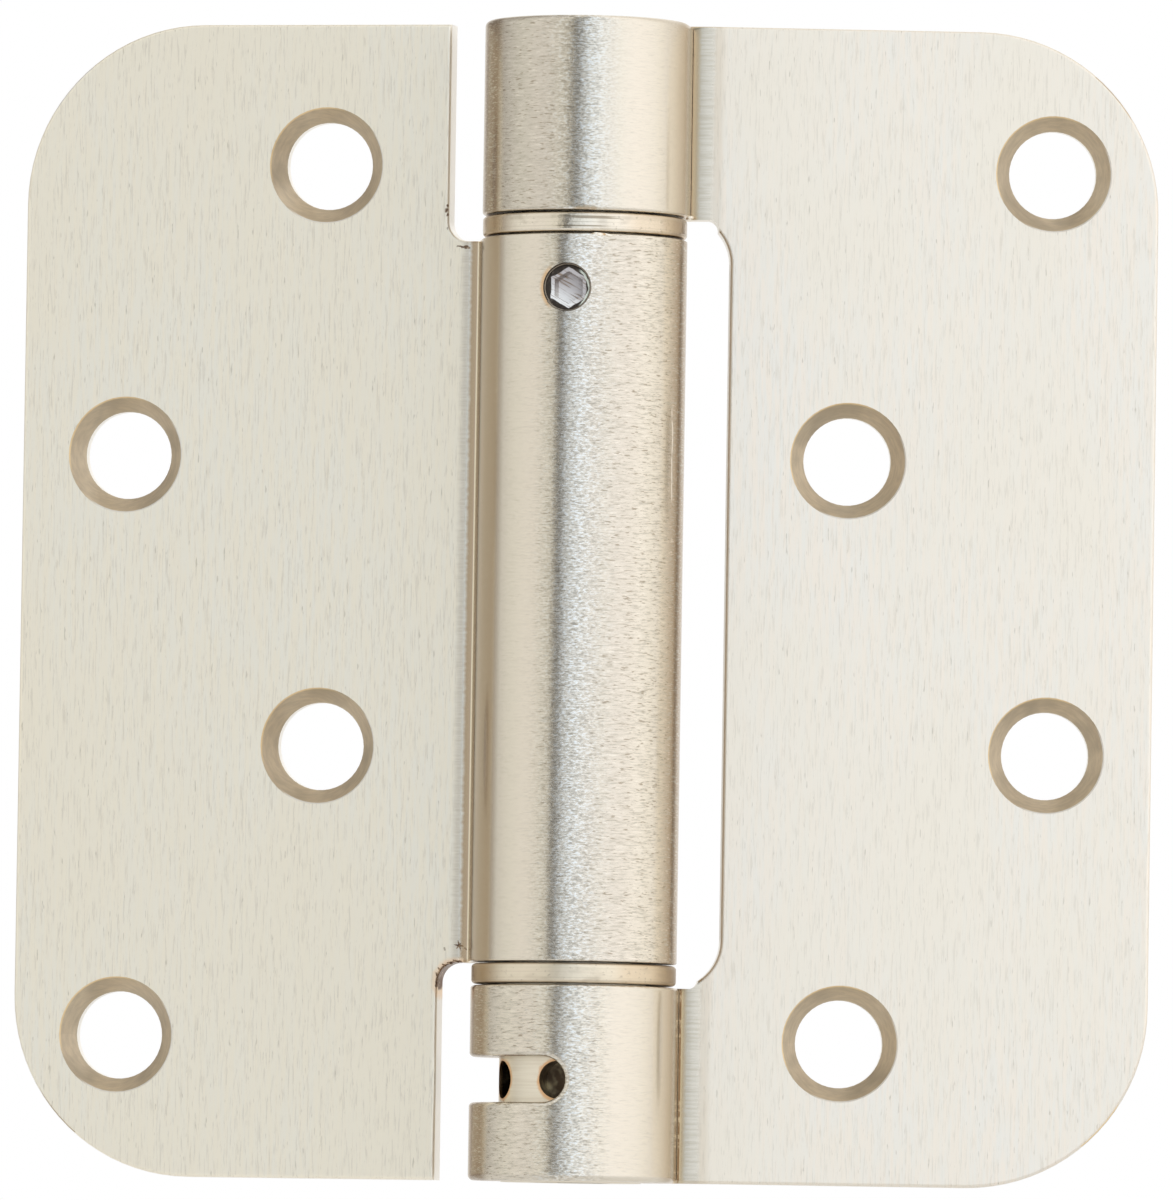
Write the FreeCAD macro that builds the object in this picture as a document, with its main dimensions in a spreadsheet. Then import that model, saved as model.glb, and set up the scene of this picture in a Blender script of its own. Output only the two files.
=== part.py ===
"""Spring loaded door hinge, 4 by 4 inch with round corners, as a FreeCAD macro in millimetres.

The pin axis is Z and the origin is at mid height on it. The frame leaf, which has the two
end knuckles, lies along +X with its countersunk face towards -Y. The barrel leaf lies along
-X and is folded back a little past flat, as an untensioned hinge lies on a bench.
"""
import FreeCAD, Part
import math
import os
import re
import Sketcher
from FreeCAD import Placement, Rotation, Vector

doc = FreeCAD.newDocument("SpringHinge")
sheet = doc.addObject("Spreadsheet::Sheet", "Sizes")

# Driving dimensions: name, value in millimetres or degrees, meaning
DRIVING = (
    ("leaf_height", "101.6", "height of both leaves"),
    ("leaf_width", "50.55", "pin axis to the outer edge of a leaf"),
    ("corner_radius", "15.875", "outer corners of the leaves"),
    ("sheet_gauge", "2.5", "thickness of the leaf steel"),
    ("setback", "0.8", "front face of a leaf behind the pin axis"),
    ("fold_angle", "15", "barrel leaf past flat in the rest pose"),
    ("knuckle_radius", "9", "outside of the rolled knuckles and barrel"),
    ("root_bend", "5", "inside radius of the bend behind the knuckle root"),
    ("frame_roll_angle", "10", "where the frame leaf's roll straightens before its end"),
    ("barrel_roll_angle", "17", "where the barrel leaf's roll straightens before its end"),
    ("seam_gap", "0.15", "end of the roll to the face of its leaf"),
    ("edge_round", "0.3", "rolled-over front edges of the leaves"),
    ("knuckle_round", "0.5", "rolled-over outer edges of the frame leaf's knuckles"),
    ("slot_round", "0.4", "rolled-over outer edge of the slot in the bottom knuckle"),
    ("barrel_round", "0.15", "outer edges of the barrel"),
    ("barrel_length", "63.4", "rolled barrel of the barrel leaf"),
    ("washer_thickness", "1.75", "thrust washers"),
    ("washer_inset", "0.05", "rims of the thrust washers inside the outside of the knuckles"),
    ("washer_round", "0.35", "outer edges of the thrust washers"),
    ("axial_play", "0.15", "gap on each side of a thrust washer"),
    ("notch_past_bend", "1.13", "root bend to the barrel leaf's edge beside a knuckle"),
    ("notch_fillet", "1.75", "inside corners of the barrel leaf's notches"),
    ("opening_past_bend", "1.63", "root bend to the frame leaf's edge beside the barrel"),
    ("opening_radius", "4.2", "inside corners of the frame leaf's opening"),
    ("top_corner", "3.85", "end of the top knuckle to the straight edge of the opening"),
    ("bottom_corner", "4.25", "end of the bottom knuckle to that straight edge"),
    ("top_meet", "0.58", "root bend to where the opening's top corner meets the knuckle cut"),
    ("bottom_meet", "0.27", "root bend back to where its bottom corner meets that cut"),
    ("step_radius", "0.95", "small corners at the outer ends of the knuckle cuts"),
    ("step_run", "0.75", "width of those small corners"),
    ("screw_end", "12.43", "first and last screw hole from the ends of a leaf"),
    ("far_column_inside", "9.28", "far screw holes inside the outer edge of a leaf"),
    ("near_column_inside", "7.42", "near screw holes inside the middle of the flat leaf"),
    ("screw_hole", "7.7", "diameter of the screw holes"),
    ("countersink", "10.25", "diameter of the countersinks at the face"),
    ("countersink_angle", "82", "full angle of the countersinks"),
    ("window_height", "4", "slot punched in the bottom knuckle"),
    ("window_lift", "0.28", "slot above the middle of the bottom knuckle"),
    ("window_half_angle", "82", "half angle of the slot to the tip of its round end"),
    ("plug_gap", "0.1", "plug and spindle to the bore round them"),
    ("press_gap", "0.05", "bushings and cap to the bore that holds them"),
    ("running_gap", "0.08", "journals to their bushings"),
    ("bushing_wall", "0.67", "wall of the bushings"),
    ("bushing_length", "12", "bushing in the lower end of the barrel"),
    ("journal_past", "1.45", "upper journal past its bushing"),
    ("shoulder_gap", "0.3", "spindle shoulder below its bushing"),
    ("cap_depth", "3", "cap in the open end of the top knuckle"),
    ("cap_crown", "0.3", "dome of the cap and of the spindle's end"),
    ("end_gap", "0.6", "journal below the cap"),
    ("plug_length", "13.7", "anchor plug inside the barrel"),
    ("nose_length", "6", "slotted noses inside the spring"),
    ("nose_gap", "0.3", "slotted noses to the coils round them"),
    ("tang_gap", "0.1", "spring tang to each side of its slot"),
    ("wire", "2.4", "diameter of the spring wire"),
    ("coil_gap", "0.4", "coils of the spring to the bore round them"),
    ("coils", "12", "turns of the spring"),
    ("coil_end_gap", "0.15", "end coils to the shoulders they lie on"),
    ("tang_inside", "0.8", "end of a spring tang inside its nose"),
    ("tang_bend", "1.5", "bend between the coils and a tang, at the middle of the wire"),
    ("ring_thickness", "0.9", "retaining ring on the spindle"),
    ("ring_inside", "0.3", "retaining ring to the bore round it"),
    ("ring_open_angle", "60", "open angle of the retaining ring"),
    ("ring_gap", "0.05", "retaining ring to its groove"),
    ("ring_lift", "0.2", "retaining ring above its bushing"),
    ("groove_depth", "0.7", "groove of the retaining ring"),
    ("collar_length", "1.5", "spindle above the groove"),
    ("pin_hole", "3.3", "diameter of the spindle's tension pin holes"),
    ("pin_hole_depth", "3.5", "depth of the tension pin holes"),
    ("pin_holes", "6", "tension pin holes round the spindle"),
    ("pin_hole_angle", "28", "first tension pin hole from the tang slot"),
    ("spindle_end", "0.2", "spindle inside the end of the bottom knuckle"),
    ("key_flats", "6.35", "wrench socket in the spindle, across flats"),
    ("key_depth", "5", "depth of the wrench socket"),
    ("set_screw_below", "4.7", "set screw below the top of the barrel"),
    ("set_screw_turn", "2", "set screw round the barrel from the normal of its leaf"),
    ("set_screw_radius", "2.05", "set screw at the root of its thread"),
    ("set_screw_length", "4", "set screw"),
    ("set_screw_recess", "1", "set screw below the outside of the barrel"),
    ("set_screw_point", "0.6", "cone at the tip of the set screw"),
    ("set_screw_flats", "2.5", "hexagon socket, across flats"),
    ("set_screw_socket", "2.2", "depth of the hexagon socket"),
    ("tap_gap", "0.05", "set screw to the wall of its tapped hole"),
    ("dimple_gap", "0.3", "set screw to the wall of its seat in the plug"),
)

# Sizes worked out from the driving ones
DERIVED = (
    ("half_height", "leaf_height / 2"),
    ("screw_row", "(leaf_height - 2 * screw_end) / 3"),
    ("leaf_back", "setback + sheet_gauge"),
    ("bore_radius", "knuckle_radius - sheet_gauge"),
    ("front_bend", "root_bend + sheet_gauge"),
    ("bend_y", "leaf_back + root_bend"),
    ("bend_x", "sqrt((knuckle_radius + root_bend)^2 - bend_y^2)"),
    ("join_angle", "atan2(bend_y; bend_x) / 1 deg"),
    ("opening_edge", "bend_x + opening_past_bend"),
    ("top_step", "opening_past_bend - top_meet"),
    ("bottom_step", "opening_past_bend + bottom_meet"),
    ("notch_edge", "bend_x + notch_past_bend"),
    ("far_column", "leaf_width - far_column_inside"),
    ("near_column", "(bend_x + leaf_width) / 2 - near_column_inside"),
    ("barrel_half", "barrel_length / 2"),
    ("set_screw_level", "barrel_half - set_screw_below"),
    ("washer_inside", "barrel_half + axial_play"),
    ("washer_outside", "washer_inside + washer_thickness"),
    ("knuckle_inside", "washer_outside + axial_play"),
    ("window_level", "window_lift - (knuckle_inside + half_height) / 2"),
    ("plug_radius", "bore_radius - plug_gap"),
    ("bushing_radius", "bore_radius - press_gap"),
    ("bushing_bore", "bushing_radius - bushing_wall"),
    ("journal_radius", "bushing_bore - running_gap"),
    ("groove_radius", "journal_radius - groove_depth"),
    ("ring_radius", "bore_radius - ring_inside"),
    ("washer_radius", "knuckle_radius - washer_inset"),
    ("coil_radius", "bore_radius - wire / 2 - coil_gap"),
    ("nose_radius", "coil_radius - wire / 2 - nose_gap"),
    ("tang_past", "nose_radius - tang_inside"),
    ("tang_slot", "wire + 2 * tang_gap"),
    ("plug_bottom", "barrel_half - plug_length"),
    ("plug_top", "half_height - cap_depth - end_gap"),
    ("upper_bushing_top", "plug_top - journal_past"),
    ("lower_bushing_top", "bushing_length - barrel_half"),
    ("ring_bottom", "lower_bushing_top + ring_lift"),
    ("ring_top", "ring_bottom + ring_thickness"),
    ("spindle_top", "ring_top + ring_gap + collar_length"),
    ("spindle_shoulder", "-barrel_half - shoulder_gap"),
    ("spindle_bottom", "spindle_end - half_height"),
    ("coil_bottom", "spindle_top + coil_end_gap + wire / 2"),
    ("coil_top", "plug_bottom - coil_end_gap - wire / 2"),
    ("set_screw_face", "knuckle_radius - set_screw_recess"),
    ("set_screw_tip", "set_screw_face - set_screw_length"),
    ("past_all", "2 * knuckle_radius"),
)

for row, (alias, value, meaning) in enumerate(DRIVING, start=1):
    sheet.set("A%d" % row, meaning)
    sheet.set("B%d" % row, value)
    sheet.setAlias("B%d" % row, alias)
for row, (alias, formula) in enumerate(DERIVED, start=len(DRIVING) + 1):
    sheet.set("B%d" % row, "=" + formula)
    sheet.setAlias("B%d" % row, alias)
doc.recompute()

ALIASES = [entry[0] for entry in DRIVING + DERIVED]


def bound(formula):
    """The formula with each size's name led by the sheet's, as other objects write it."""
    return re.sub(r"[a-z_]+", lambda m: "Sizes." + m[0] if m[0] in ALIASES else m[0], formula)


def value_of(formula):
    """The formula's value now."""
    result = sheet.evalExpression(bound(formula))
    return float(getattr(result, "Value", result))


def plane_of(body, role):
    """One of the body's own origin planes or axes."""
    return [item for item in body.Origin.OriginFeatures if item.Role == role][0]


def new_sketch(body, name, role, offset=None):
    """A sketch on one of the body's origin planes, moved along its normal by a formula."""
    sketch = body.newObject("Sketcher::SketchObject", name)
    sketch.AttachmentSupport = [(plane_of(body, role), "")]
    sketch.MapMode = "FlatFace"
    if offset:
        sketch.setExpression("AttachmentOffset.Base.z", bound(offset))
    return sketch


def turn_sketch(sketch, formula):
    """Turns a sketch on an upright plane about the pin axis."""
    sketch.AttachmentOffset = Placement(Vector(), Rotation(Vector(0, 1, 0), 1))
    sketch.setExpression("AttachmentOffset.Rotation.Angle", bound(formula))


def locate(sketch, geometry, point, across, up):
    """Ties a point of the sketch to its two formulas."""
    for kind, axis, formula in (("DistanceX", -2, across), ("DistanceY", -1, up)):
        if formula == "0":
            sketch.addConstraint(Sketcher.Constraint("PointOnObject", geometry, point, axis))
        else:
            rule = Sketcher.Constraint(kind, -1, 1, geometry, point, value_of(formula))
            index = sketch.addConstraint(rule)
            sketch.setExpression("Constraints[%d]" % index, bound(formula))


def outline(sketch, steps, side=1):
    """A closed outline through the steps, each (across, up) or, where an arc leads to it,
    (across, up, radius, turn) with turn 1 anticlockwise and -1 clockwise. With side -1 the
    outline is mirrored left to right."""
    corners = []
    for step in steps:
        across = step[0] if side == 1 or step[0] == "0" else "-(%s)" % step[0]
        corners.append((across, step[1]))
    places = [Vector(value_of(across), value_of(up), 0) for across, up in corners]
    pieces = []
    for number, step in enumerate(steps):
        start = places[number - 1]
        end = places[number]
        if len(step) == 2:
            geometry = sketch.addGeometry(Part.LineSegment(start, end))
            pieces.append((geometry, 1, 2))
            continue
        radius = value_of(step[2])
        turn = step[3] * side
        chord = end - start
        middle = (start + end) / 2
        left = Vector(-chord.y, chord.x, 0).normalize()
        centre = middle + left * turn * max(radius ** 2 - (chord.Length / 2) ** 2, 0) ** 0.5
        circle = Part.Circle(centre, Vector(0, 0, 1), radius)
        first, last = (start, end) if turn > 0 else (end, start)
        arc = Part.ArcOfCircle(circle, circle.parameter(first), circle.parameter(last))
        geometry = sketch.addGeometry(arc)
        pieces.append((geometry, 1, 2) if turn > 0 else (geometry, 2, 1))
        index = sketch.addConstraint(Sketcher.Constraint("Radius", geometry, radius))
        sketch.setExpression("Constraints[%d]" % index, bound(step[2]))
    for number, (geometry, start, end) in enumerate(pieces):
        before, _, before_end = pieces[number - 1]
        sketch.addConstraint(Sketcher.Constraint("Coincident", before, before_end, geometry, start))
        locate(sketch, geometry, end, *corners[number])


def circle_at(sketch, across, up, diameter):
    """A circle tied to its formulas."""
    centre = Vector(value_of(across), value_of(up), 0)
    circle = Part.Circle(centre, Vector(0, 0, 1), value_of(diameter) / 2)
    geometry = sketch.addGeometry(circle)
    locate(sketch, geometry, 3, across, up)
    rule = Sketcher.Constraint("Diameter", geometry, value_of(diameter))
    index = sketch.addConstraint(rule)
    sketch.setExpression("Constraints[%d]" % index, bound(diameter))


def hexagon_at(sketch, up, flats):
    """A hexagon with a corner at the top, on the sketch's vertical axis."""
    steps = []
    for corner in range(6):
        angle = 90 + 60 * corner
        across = "(%s) / sqrt(3) * cos(%d)" % (flats, angle)
        steps.append(("0" if corner % 3 == 0 else across,
                      "(%s) + (%s) / sqrt(3) * sin(%d)" % (up, flats, angle)))
    outline(sketch, steps)


def cut(body, name, sketch, length, forward=False, both=False):
    """A pocket behind the sketch's plane, in front of it, or on both sides."""
    pocket = body.newObject("PartDesign::Pocket", name)
    pocket.Profile = sketch
    pocket.Reversed = forward
    if both:
        pocket.SideType = "Symmetric"
    pocket.setExpression("Length", bound(length))
    doc.recompute()
    return pocket


def turned_body(label, steps, angle="360"):
    """A body turned about Z from its half outline of (radius, height) steps."""
    body = doc.addObject("PartDesign::Body", label)
    sketch = new_sketch(body, label + "_profile", "XZ_Plane")
    outline(sketch, steps)
    turn = body.newObject("PartDesign::Revolution", label + "_turned")
    turn.Profile = sketch
    turn.ReferenceAxis = (sketch, ["V_Axis"])
    turn.Midplane = angle != "360"
    turn.setExpression("Angle", bound(angle))
    doc.recompute()
    return body


def edges_where(shape, test):
    """Names of the shape's edges that pass the test."""
    return ["Edge%d" % (number + 1) for number, edge in enumerate(shape.Edges) if test(edge)]


def ease(body, name, test, radius, kind="PartDesign::Fillet"):
    """A fillet or chamfer on the edges of the body's last feature that pass the test."""
    base = body.Tip
    feature = body.newObject(kind, name)
    feature.Base = (base, edges_where(base.Shape, test))
    feature.setExpression("Radius" if kind.endswith("Fillet") else "Size", bound(radius))
    doc.recompute()
    return feature


def turn_body(body, formula):
    """Turns a body about the pin axis."""
    body.Placement = Placement(Vector(), Rotation(Vector(0, 0, 1), 1))
    body.setExpression("Placement.Rotation.Angle", bound(formula))


def with_set_screw(body):
    """Turns a body about the pin axis so that it faces the set screw in the folded back leaf."""
    turn_body(body, "set_screw_turn - fold_angle")


def folded_leaf(label, tilt, side):
    """A leaf folded from one sheet: flat leaf, bend, roll round the bore, end on the leaf."""
    body = doc.addObject("PartDesign::Body", label)
    section = new_sketch(body, label + "_section", "XY_Plane")
    # Straight end of the roll, from where it leaves the circle to its outer corner
    reach = ("((bend_x - knuckle_radius * cos({0})) * sin({0})"
             " + (bend_y + knuckle_radius * sin({0})) * cos({0}))").format(tilt)
    miss = ("((bend_x - knuckle_radius * cos({0})) * cos({0})"
            " - (bend_y + knuckle_radius * sin({0})) * sin({0}))").format(tilt)
    run = "(%s - sqrt((front_bend + seam_gap)^2 - (%s)^2))" % (reach, miss)
    end_x = "(%s * cos({0}) + %s * sin({0}))" % ("{1}", run)
    end_y = "(%s * cos({0}) - %s * sin({0}))" % (run, "{1}")
    outer = "knuckle_radius"
    inner = "bore_radius"
    outline(section, (
        ("leaf_width", "leaf_back"),
        ("bend_x", "leaf_back"),
        ("bend_x - root_bend * cos(join_angle)", "bend_y - root_bend * sin(join_angle)",
         "root_bend", -1),
        ("knuckle_radius * cos(140)", "knuckle_radius * sin(140)", outer, 1),
        ("knuckle_radius * cos(245)", "knuckle_radius * sin(245)", outer, 1),
        ("knuckle_radius * cos(%s)" % tilt, "-knuckle_radius * sin(%s)" % tilt, outer, 1),
        (end_x.format(tilt, outer), end_y.format(tilt, outer)),
        (end_x.format(tilt, inner), end_y.format(tilt, inner)),
        ("bore_radius * cos(%s)" % tilt, "-bore_radius * sin(%s)" % tilt),
        ("bore_radius * cos(245)", "bore_radius * sin(245)", inner, -1),
        ("bore_radius * cos(140)", "bore_radius * sin(140)", inner, -1),
        ("bore_radius * cos(join_angle)", "bore_radius * sin(join_angle)", inner, -1),
        ("bend_x", "setback", "front_bend", 1),
        ("leaf_width", "setback"),
    ), side)
    pad = body.newObject("PartDesign::Pad", label + "_sheet")
    pad.Profile = section
    pad.SideType = "Symmetric"
    pad.setExpression("Length", bound("leaf_height"))
    doc.recompute()

    half = value_of("half_height")
    width = value_of("leaf_width") * side

    def outer_corner(edge):
        middle = edge.BoundBox.Center
        return (abs(middle.x - width) < 0.01 and abs(abs(middle.z) - half) < 0.01
                and edge.BoundBox.YLength > 1)

    ease(body, label + "_corners", outer_corner, "corner_radius")
    return body


def screw_holes(body, columns, side):
    """Four countersunk holes, from the top down in the given columns."""
    sketch = new_sketch(body, body.Name + "_hole_centres", "XZ_Plane", "-setback")
    for number, column in enumerate(columns):
        across = column if side == 1 else "-" + column
        circle_at(sketch, across, "(1.5 - %d) * screw_row" % number, "screw_hole")
    doc.recompute()
    hole = body.newObject("PartDesign::Hole", body.Name + "_screw_holes")
    hole.Profile = sketch
    hole.DepthType = "ThroughAll"
    hole.Threaded = False
    hole.HoleCutType = "Countersink"
    hole.HoleCutCustomValues = True
    hole.setExpression("Diameter", bound("screw_hole"))
    hole.setExpression("HoleCutDiameter", bound("countersink"))
    hole.setExpression("HoleCutCountersinkAngle", bound("countersink_angle"))
    doc.recompute()


def round_front_edges(body, side):
    """Rolls over the outline of the flat front face, as blanking leaves it."""
    front = value_of("setback")
    inner = value_of("bend_x") + 0.5

    def front_outline(edge):
        box = edge.BoundBox
        flat = box.YLength < 0.001 and abs(box.YMin - front) < 0.001
        ends = [vertex.Point.x * side for vertex in edge.Vertexes]
        hole = len(edge.Vertexes) < 2
        return flat and not hole and min(ends) > inner

    ease(body, body.Name + "_edges", front_outline, "edge_round")


# Frame leaf: one folded sheet with a knuckle at each end and an opening for the barrel
frame_leaf = folded_leaf("frame_leaf", "frame_roll_angle", 1)
opening = new_sketch(frame_leaf, "opening_outline", "XZ_Plane")
corner_reach = "sqrt(opening_radius^2 - (opening_radius - {0})^2)"
outline(opening, (
    ("-past_all", "-knuckle_inside"),
    ("opening_edge - bottom_step - step_run", "-knuckle_inside"),
    ("opening_edge - bottom_step",
     "bottom_corner - knuckle_inside - " + corner_reach.format("bottom_step"), "step_radius", 1),
    ("opening_edge", "bottom_corner - knuckle_inside", "opening_radius", 1),
    ("opening_edge", "knuckle_inside - top_corner"),
    ("opening_edge - top_step",
     "knuckle_inside - top_corner + " + corner_reach.format("top_step"), "opening_radius", 1),
    ("opening_edge - top_step - step_run", "knuckle_inside", "step_radius", 1),
    ("-past_all", "knuckle_inside"),
))
cut(frame_leaf, "opening", opening, "2 * past_all", both=True)


def middle_of(edge):
    """The point halfway along an edge."""
    return edge.valueAt((edge.FirstParameter + edge.LastParameter) / 2)


def on_roll(edge, level):
    """Whether the edge is on the outside of a roll, at a height given by a formula."""
    middle = middle_of(edge)
    return (edge.BoundBox.ZLength < 0.001 and abs(middle.z - value_of(level)) < 0.001
            and abs(math.hypot(middle.x, middle.y) - value_of("knuckle_radius")) < 0.001)


def round_opening(edge):
    """Whether the edge belongs to the opening on the outer side of the sheet."""
    middle = middle_of(edge)
    on_back = (edge.BoundBox.YMin > value_of("leaf_back") - 0.01
               and value_of("bend_x") - 1.5 < middle.x < value_of("opening_edge") + 1
               and abs(middle.z) < value_of("knuckle_inside") + 0.01)
    return on_back or on_roll(edge, "knuckle_inside") or on_roll(edge, "-knuckle_inside")


ease(frame_leaf, "opening_rolled_edges", round_opening, "edge_round")
screw_holes(frame_leaf, ("far_column", "near_column", "far_column", "near_column"), 1)

# Slot in the bottom knuckle, punched with full round ends before the sheet is rolled
slot_band = new_sketch(frame_leaf, "slot_band", "XZ_Plane")
outline(slot_band, (
    ("-past_all", "window_level - window_height / 2"),
    ("-bore_radius / 2", "window_level - window_height / 2"),
    ("-bore_radius / 2", "window_level + window_height / 2"),
    ("-past_all", "window_level + window_height / 2"),
))
slot = frame_leaf.newObject("PartDesign::Groove", "slot")
slot.Profile = slot_band
slot.ReferenceAxis = (slot_band, ["V_Axis"])
slot.Midplane = True
round_end_angle = "window_half_angle - asin(window_height / 2 / knuckle_radius) / 1 deg"
slot.setExpression("Angle", bound("2 * (%s)" % round_end_angle))
doc.recompute()
for name, sign in (("slot_front_end", 1), ("slot_back_end", -1)):
    end_circle = new_sketch(frame_leaf, name + "_circle", "YZ_Plane")
    turn_sketch(end_circle, "%d * (%s)" % (sign, round_end_angle))
    circle_at(end_circle, "0", "window_level", "window_height")
    cut(frame_leaf, name, end_circle, "past_all")
round_front_edges(frame_leaf, 1)

ease(frame_leaf, "knuckle_ends", lambda edge: on_roll(edge, "half_height")
     or on_roll(edge, "-half_height"), "knuckle_round")


def round_slot(edge):
    """Whether the edge is the slot's, on the outside of the knuckle."""
    middle = middle_of(edge)
    return (abs(middle.z - value_of("window_level")) < value_of("window_height") / 2 + 0.01
            and abs(math.hypot(middle.x, middle.y) - value_of("knuckle_radius")) < 0.001
            and edge.Length < value_of("4 * knuckle_radius") and middle.x < value_of("bore_radius"))


ease(frame_leaf, "slot_edges", round_slot, "slot_round")

# Barrel leaf: one folded sheet, notched at both ends so that only the long barrel is rolled
barrel_leaf = folded_leaf("barrel_leaf", "barrel_roll_angle", -1)
notches = new_sketch(barrel_leaf, "notch_outlines", "XZ_Plane")
for sign in (1, -1):
    outline(notches, (
        ("-past_all", "%d * barrel_half" % sign),
        ("notch_edge - notch_fillet", "%d * barrel_half" % sign),
        ("notch_edge", "%d * (barrel_half + notch_fillet)" % sign, "notch_fillet", sign),
        ("notch_edge", "%d * leaf_height" % sign),
        ("-past_all", "%d * leaf_height" % sign),
    ), -1)
cut(barrel_leaf, "notches", notches, "2 * past_all", both=True)
screw_holes(barrel_leaf, ("near_column", "far_column", "near_column", "far_column"), -1)
tap = new_sketch(barrel_leaf, "tapped_hole_circle", "XZ_Plane")
turn_sketch(tap, "set_screw_turn")
circle_at(tap, "0", "set_screw_level", "2 * (set_screw_radius + tap_gap)")
cut(barrel_leaf, "tapped_hole", tap, "past_all", forward=True)
round_front_edges(barrel_leaf, -1)
ease(barrel_leaf, "barrel_ends", lambda edge: on_roll(edge, "barrel_half")
     or on_roll(edge, "-barrel_half"), "barrel_round")
turn_body(barrel_leaf, "-fold_angle")


def thrust_washer(label, low, high):
    """A turned washer round the plug or spindle, between the barrel and a knuckle."""
    body = turned_body(label, (
        ("bore_radius", low),
        ("washer_radius", low),
        ("washer_radius", high),
        ("bore_radius", high),
    ))
    rim = value_of("washer_radius")
    ease(body, label + "_rim", lambda edge: abs(edge.BoundBox.XMax - rim) < 0.01
         and edge.BoundBox.ZLength < 0.01, "washer_round")
    return body


upper_washer = thrust_washer("upper_washer", "washer_inside", "washer_outside")
lower_washer = thrust_washer("lower_washer", "-washer_outside", "-washer_inside")


def bushing(label, low, high):
    """A plain bearing sleeve in the bore of a knuckle or of the barrel."""
    return turned_body(label, (
        ("bushing_bore", low),
        ("bushing_radius", low),
        ("bushing_radius", high),
        ("bushing_bore", high),
    ))


upper_bushing = bushing("upper_bushing", "knuckle_inside", "upper_bushing_top")
lower_bushing = bushing("lower_bushing", "-barrel_half", "lower_bushing_top")


def tang_slot(body, name, low, high, angle="0"):
    """The slot across a nose that takes the spring's tang."""
    sketch = new_sketch(body, name + "_outline", "YZ_Plane")
    if angle != "0":
        turn_sketch(sketch, angle)
    outline(sketch, (
        ("-tang_slot / 2", low),
        ("tang_slot / 2", low),
        ("tang_slot / 2", high),
        ("-tang_slot / 2", high),
    ))
    cut(body, name, sketch, "2 * past_all", both=True)


# Anchor plug: journal in the top knuckle, body in the barrel, slotted nose in the spring
anchor_plug = turned_body("anchor_plug", (
    ("0", "plug_bottom - nose_length"),
    ("nose_radius", "plug_bottom - nose_length"),
    ("nose_radius", "plug_bottom"),
    ("plug_radius", "plug_bottom"),
    ("plug_radius", "washer_outside"),
    ("journal_radius", "washer_outside"),
    ("journal_radius", "plug_top"),
    ("0", "plug_top"),
))
tang_slot(anchor_plug, "anchor_slot", "plug_bottom - 2 * nose_length", "plug_bottom")
seat = new_sketch(anchor_plug, "screw_seat_circle", "XZ_Plane", "set_screw_tip")
circle_at(seat, "0", "set_screw_level", "2 * (set_screw_radius + dimple_gap)")
cut(anchor_plug, "screw_seat", seat, "past_all", forward=True)
with_set_screw(anchor_plug)

# Adjusting spindle: wrench socket and pin holes in the bottom knuckle, journal in the barrel
adjusting_spindle = turned_body("adjusting_spindle", (
    ("0", "spindle_bottom - cap_crown"),
    ("plug_radius - cap_crown", "spindle_bottom - cap_crown"),
    ("plug_radius", "spindle_bottom"),
    ("plug_radius", "spindle_shoulder"),
    ("journal_radius", "spindle_shoulder"),
    ("journal_radius", "ring_bottom - ring_gap"),
    ("groove_radius", "ring_bottom - ring_gap"),
    ("groove_radius", "ring_top + ring_gap"),
    ("journal_radius", "ring_top + ring_gap"),
    ("journal_radius", "spindle_top"),
    ("nose_radius", "spindle_top"),
    ("nose_radius", "spindle_top + nose_length"),
    ("0", "spindle_top + nose_length"),
))
tang_slot(adjusting_spindle, "spindle_slot", "spindle_top", "spindle_top + 2 * nose_length",
          "-pin_hole_angle")
socket = new_sketch(adjusting_spindle, "wrench_socket_hexagon", "XY_Plane",
                    "spindle_bottom + key_depth - cap_crown")
hexagon_at(socket, "0 * key_flats", "key_flats")
cut(adjusting_spindle, "wrench_socket", socket, "2 * key_depth")
pin_hole_circle = new_sketch(adjusting_spindle, "pin_hole_circle", "YZ_Plane",
                             "plug_radius - pin_hole_depth")
circle_at(pin_hole_circle, "0", "window_level", "pin_hole")
pin_hole = cut(adjusting_spindle, "first_pin_hole", pin_hole_circle, "past_all", forward=True)
pin_hole_ring = adjusting_spindle.newObject("PartDesign::PolarPattern", "pin_hole_ring")
pin_hole_ring.Originals = [pin_hole]
pin_hole_ring.Axis = (plane_of(adjusting_spindle, "Z_Axis"), [""])
pin_hole_ring.Angle = 360
pin_hole_ring.setExpression("Occurrences", bound("pin_holes"))
adjusting_spindle.Tip = pin_hole_ring
doc.recompute()
turn_body(adjusting_spindle, "pin_hole_angle + set_screw_turn - fold_angle")


def tang_path(level, side):
    """Middle line of a spring end: straight across the pin axis, then bent into the coils."""
    bend = value_of("tang_bend")
    middle = Vector(value_of("sqrt((coil_radius - tang_bend)^2 - tang_bend^2)"), side * bend, level)
    leave = math.atan2(bend, middle.x)
    halfway = side * (leave - math.pi / 2) / 2
    start = Vector(middle.x, 0, level)
    through = middle + Vector(math.cos(halfway), math.sin(halfway), 0) * bend
    join = middle + Vector(math.cos(leave), side * math.sin(leave), 0) * bend
    straight = Part.LineSegment(Vector(-value_of("tang_past"), 0, level), start)
    return [straight.toShape(), Part.Arc(start, through, join).toShape()]


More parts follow.
